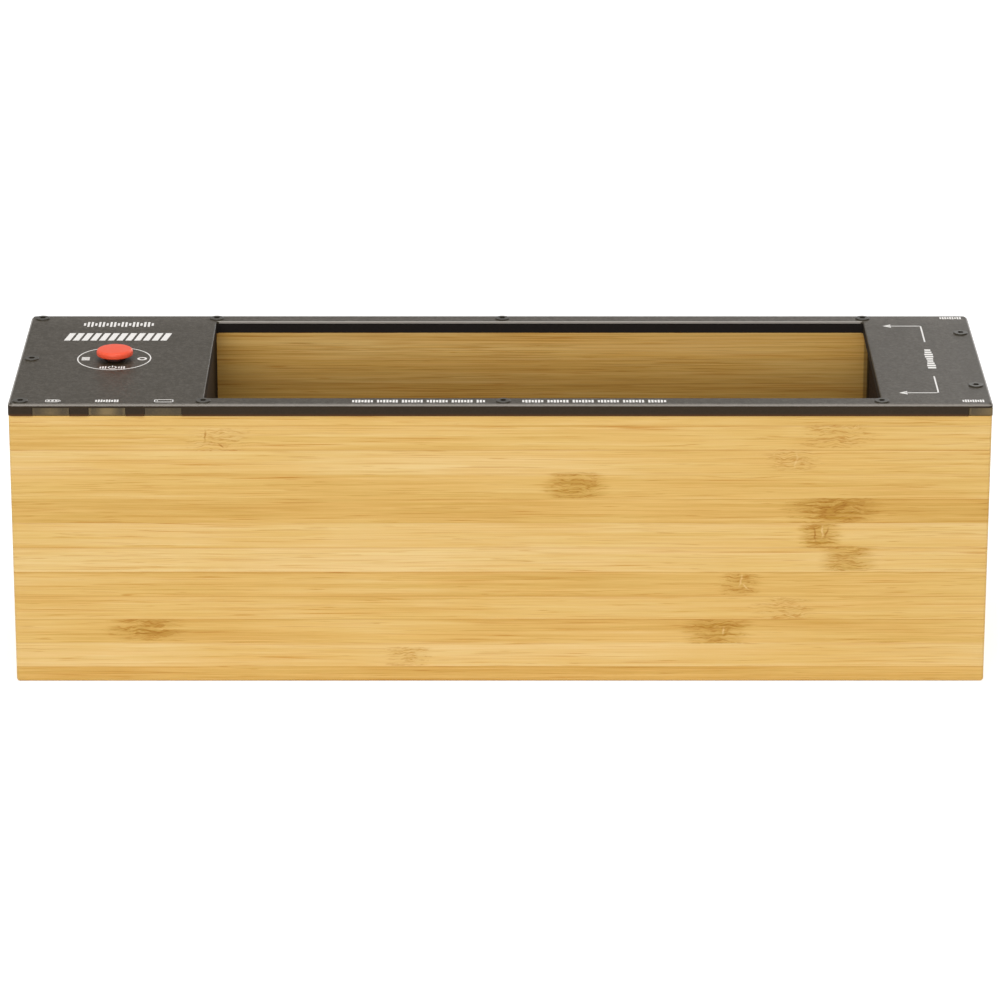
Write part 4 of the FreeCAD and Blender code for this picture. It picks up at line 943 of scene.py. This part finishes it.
def sleeveFinish(look):
    # a blue sleeve, shrunk over two cells side by side, in folds near its ends
    finish = Finish("batterySleeve", IOR=1.46, Coat_Roughness=0.15)
    x, y, z = finish.place()
    fine = finish.noise(finish.spot(x, y, z), 1.3, 3)
    folds = finish.noise(finish.spot(x * 0.9, y * 0.12, z * 0.9), 1, 3)
    nearEnd = abs(y).rise(look["foldFrom"], look["foldTo"])
    colour = finish.mix(fine * 0.3 + nearEnd * folds * 0.6, look["colour"], look["second"])
    return finish.feed(Base_Color=colour, Roughness=0.26 + fine * 0.12,
                       Normal=finish.bump(folds * nearEnd + fine * 0.2, 0.35, 0.25))


dress(sleeveFinish(sleeveLook), "battery_pack")


springLook = {"wire": 0.4, "turns": 5, "steps": 24, "ring": 8,
              "colour": (0.50, 0.50, 0.51), "second": (0.68, 0.68, 0.69)}
springLow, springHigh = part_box("button_spring")


def makeSpring(look):
    wire = look["wire"] * mm
    centre = Vector(((springLow.x + springHigh.x) / 2, (springLow.y + springHigh.y) / 2,
                     springLow.z))
    radius = (springHigh.x - springLow.x) / 2 - wire / 2
    length = springHigh.z - springLow.z
    steps = look["turns"] * look["steps"]
    start = (Matrix.Translation(centre + Vector((radius, 0, wire / 2)))
             @ Matrix.Rotation(pi / 2, 4, "X"))
    bm = bmesh.new()
    bmesh.ops.create_circle(bm, cap_ends=True, segments=look["ring"], radius=wire / 2,
                            matrix=start)
    bmesh.ops.spin(bm, geom=bm.verts[:] + bm.edges[:] + bm.faces[:], cent=centre,
                   axis=(0, 0, 1), dvec=(0, 0, (length - wire) / steps),
                   angle=2 * pi * look["turns"], steps=steps, use_duplicate=False)
    bmesh.ops.recalc_face_normals(bm, faces=bm.faces)
    finish = plainFinish("springWire", look["colour"], look["second"], rough=0.24, grain=3,
                         depth=0.02, strength=0.1, metal=1)
    piece = addPiece("returnSpring", bm, finish, replaces=("button_spring",))
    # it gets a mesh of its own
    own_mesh(piece)


makeSpring(springLook)
print("inside done")


# size in metres, sky is its light on the object, seen is how much the floor glows to the eye
stageLook = {"floor": (0.80, 0.80, 0.80), "speck": (0.83, 0.83, 0.83), "size": 8,
             "sky": 0.55, "seen": 0.52}


def makeFloor(look):
    bm = bmesh.new()
    bmesh.ops.create_grid(bm, x_segments=1, y_segments=1, size=look["size"] / 2)
    mesh = bpy.data.meshes.new("floor")
    bm.to_mesh(mesh)
    bm.free()
    floor = bpy.data.objects.new("floor", mesh)
    bpy.context.scene.collection.objects.link(floor)
    finish = Finish("floorPale", Roughness=0.9, Specular_IOR_Level=0.0)
    speck = finish.noise(finish.here(), 0.8, 2)
    finish.feed(Base_Color=finish.mix(speck * 0.2, look["floor"], look["speck"]))
    # seen directly, in gloss or through something clear, the floor reads as white with the
    # shadow kept
    direct, gloss, clear = [finish.node("LightPath", out=name) for name in (
        "Is Camera Ray", "Is Glossy Ray", "Is Transmission Ray")]
    glow = finish.node("Emission", {}, {
        "Color": (1, 1, 1), "Strength": direct.most(gloss).most(clear) * look["seen"]})
    both = finish.node("AddShader", {}, {0: Wire(finish, finish.shader.outputs[0]), 1: glow})
    output = finish.tree.nodes["Material Output"]
    finish.tree.links.new(both.socket, output.inputs["Surface"])
    mesh.materials.append(finish.material)


def makeSky(look):
    world = bpy.data.worlds.new("sky")
    bpy.context.scene.world = world
    world.use_nodes = True
    tree = world.node_tree
    path = tree.nodes.new("ShaderNodeLightPath")
    back = tree.nodes["Background"]
    back.inputs["Color"].default_value = (1, 1, 1, 1)
    level = tree.nodes.new("ShaderNodeMapRange")
    level.inputs["To Min"].default_value = look["sky"]
    level.inputs["To Max"].default_value = 1
    tree.links.new(path.outputs["Is Camera Ray"], level.inputs["Value"])
    tree.links.new(level.outputs["Result"], back.inputs["Strength"])


# place, what it looks at, width and height in metres, and power in watts
lamps = {
    "overhead": ((0, -0.50, 1.7), (0, 0, 0), 1.6, 0.4, 10.5),
    "front": ((-0.5, -2.2, 0.9), (0, 0, 0.03), 1.4, 1.0, 15.2),
    "behind": ((0.8, 2.0, 0.6), (0, 0, 0.07), 0.9, 0.7, 4.4),
}


def makeLamps():
    for name, (place, target, wide, tall, power) in lamps.items():
        data = bpy.data.lights.new(name, "AREA")
        data.shape, data.size, data.size_y, data.energy = "RECTANGLE", wide, tall, power
        lamp = bpy.data.objects.new(name, data)
        lamp.location = place
        aim = Vector(target) - Vector(place)
        lamp.rotation_euler = aim.to_track_quat("-Z", "Y").to_euler()
        lamp.visible_camera = False
        bpy.context.scene.collection.objects.link(lamp)


makeFloor(stageLook)
makeSky(stageLook)
makeLamps()
bpy.context.scene.view_settings.view_transform = "Standard"
print("stage done")
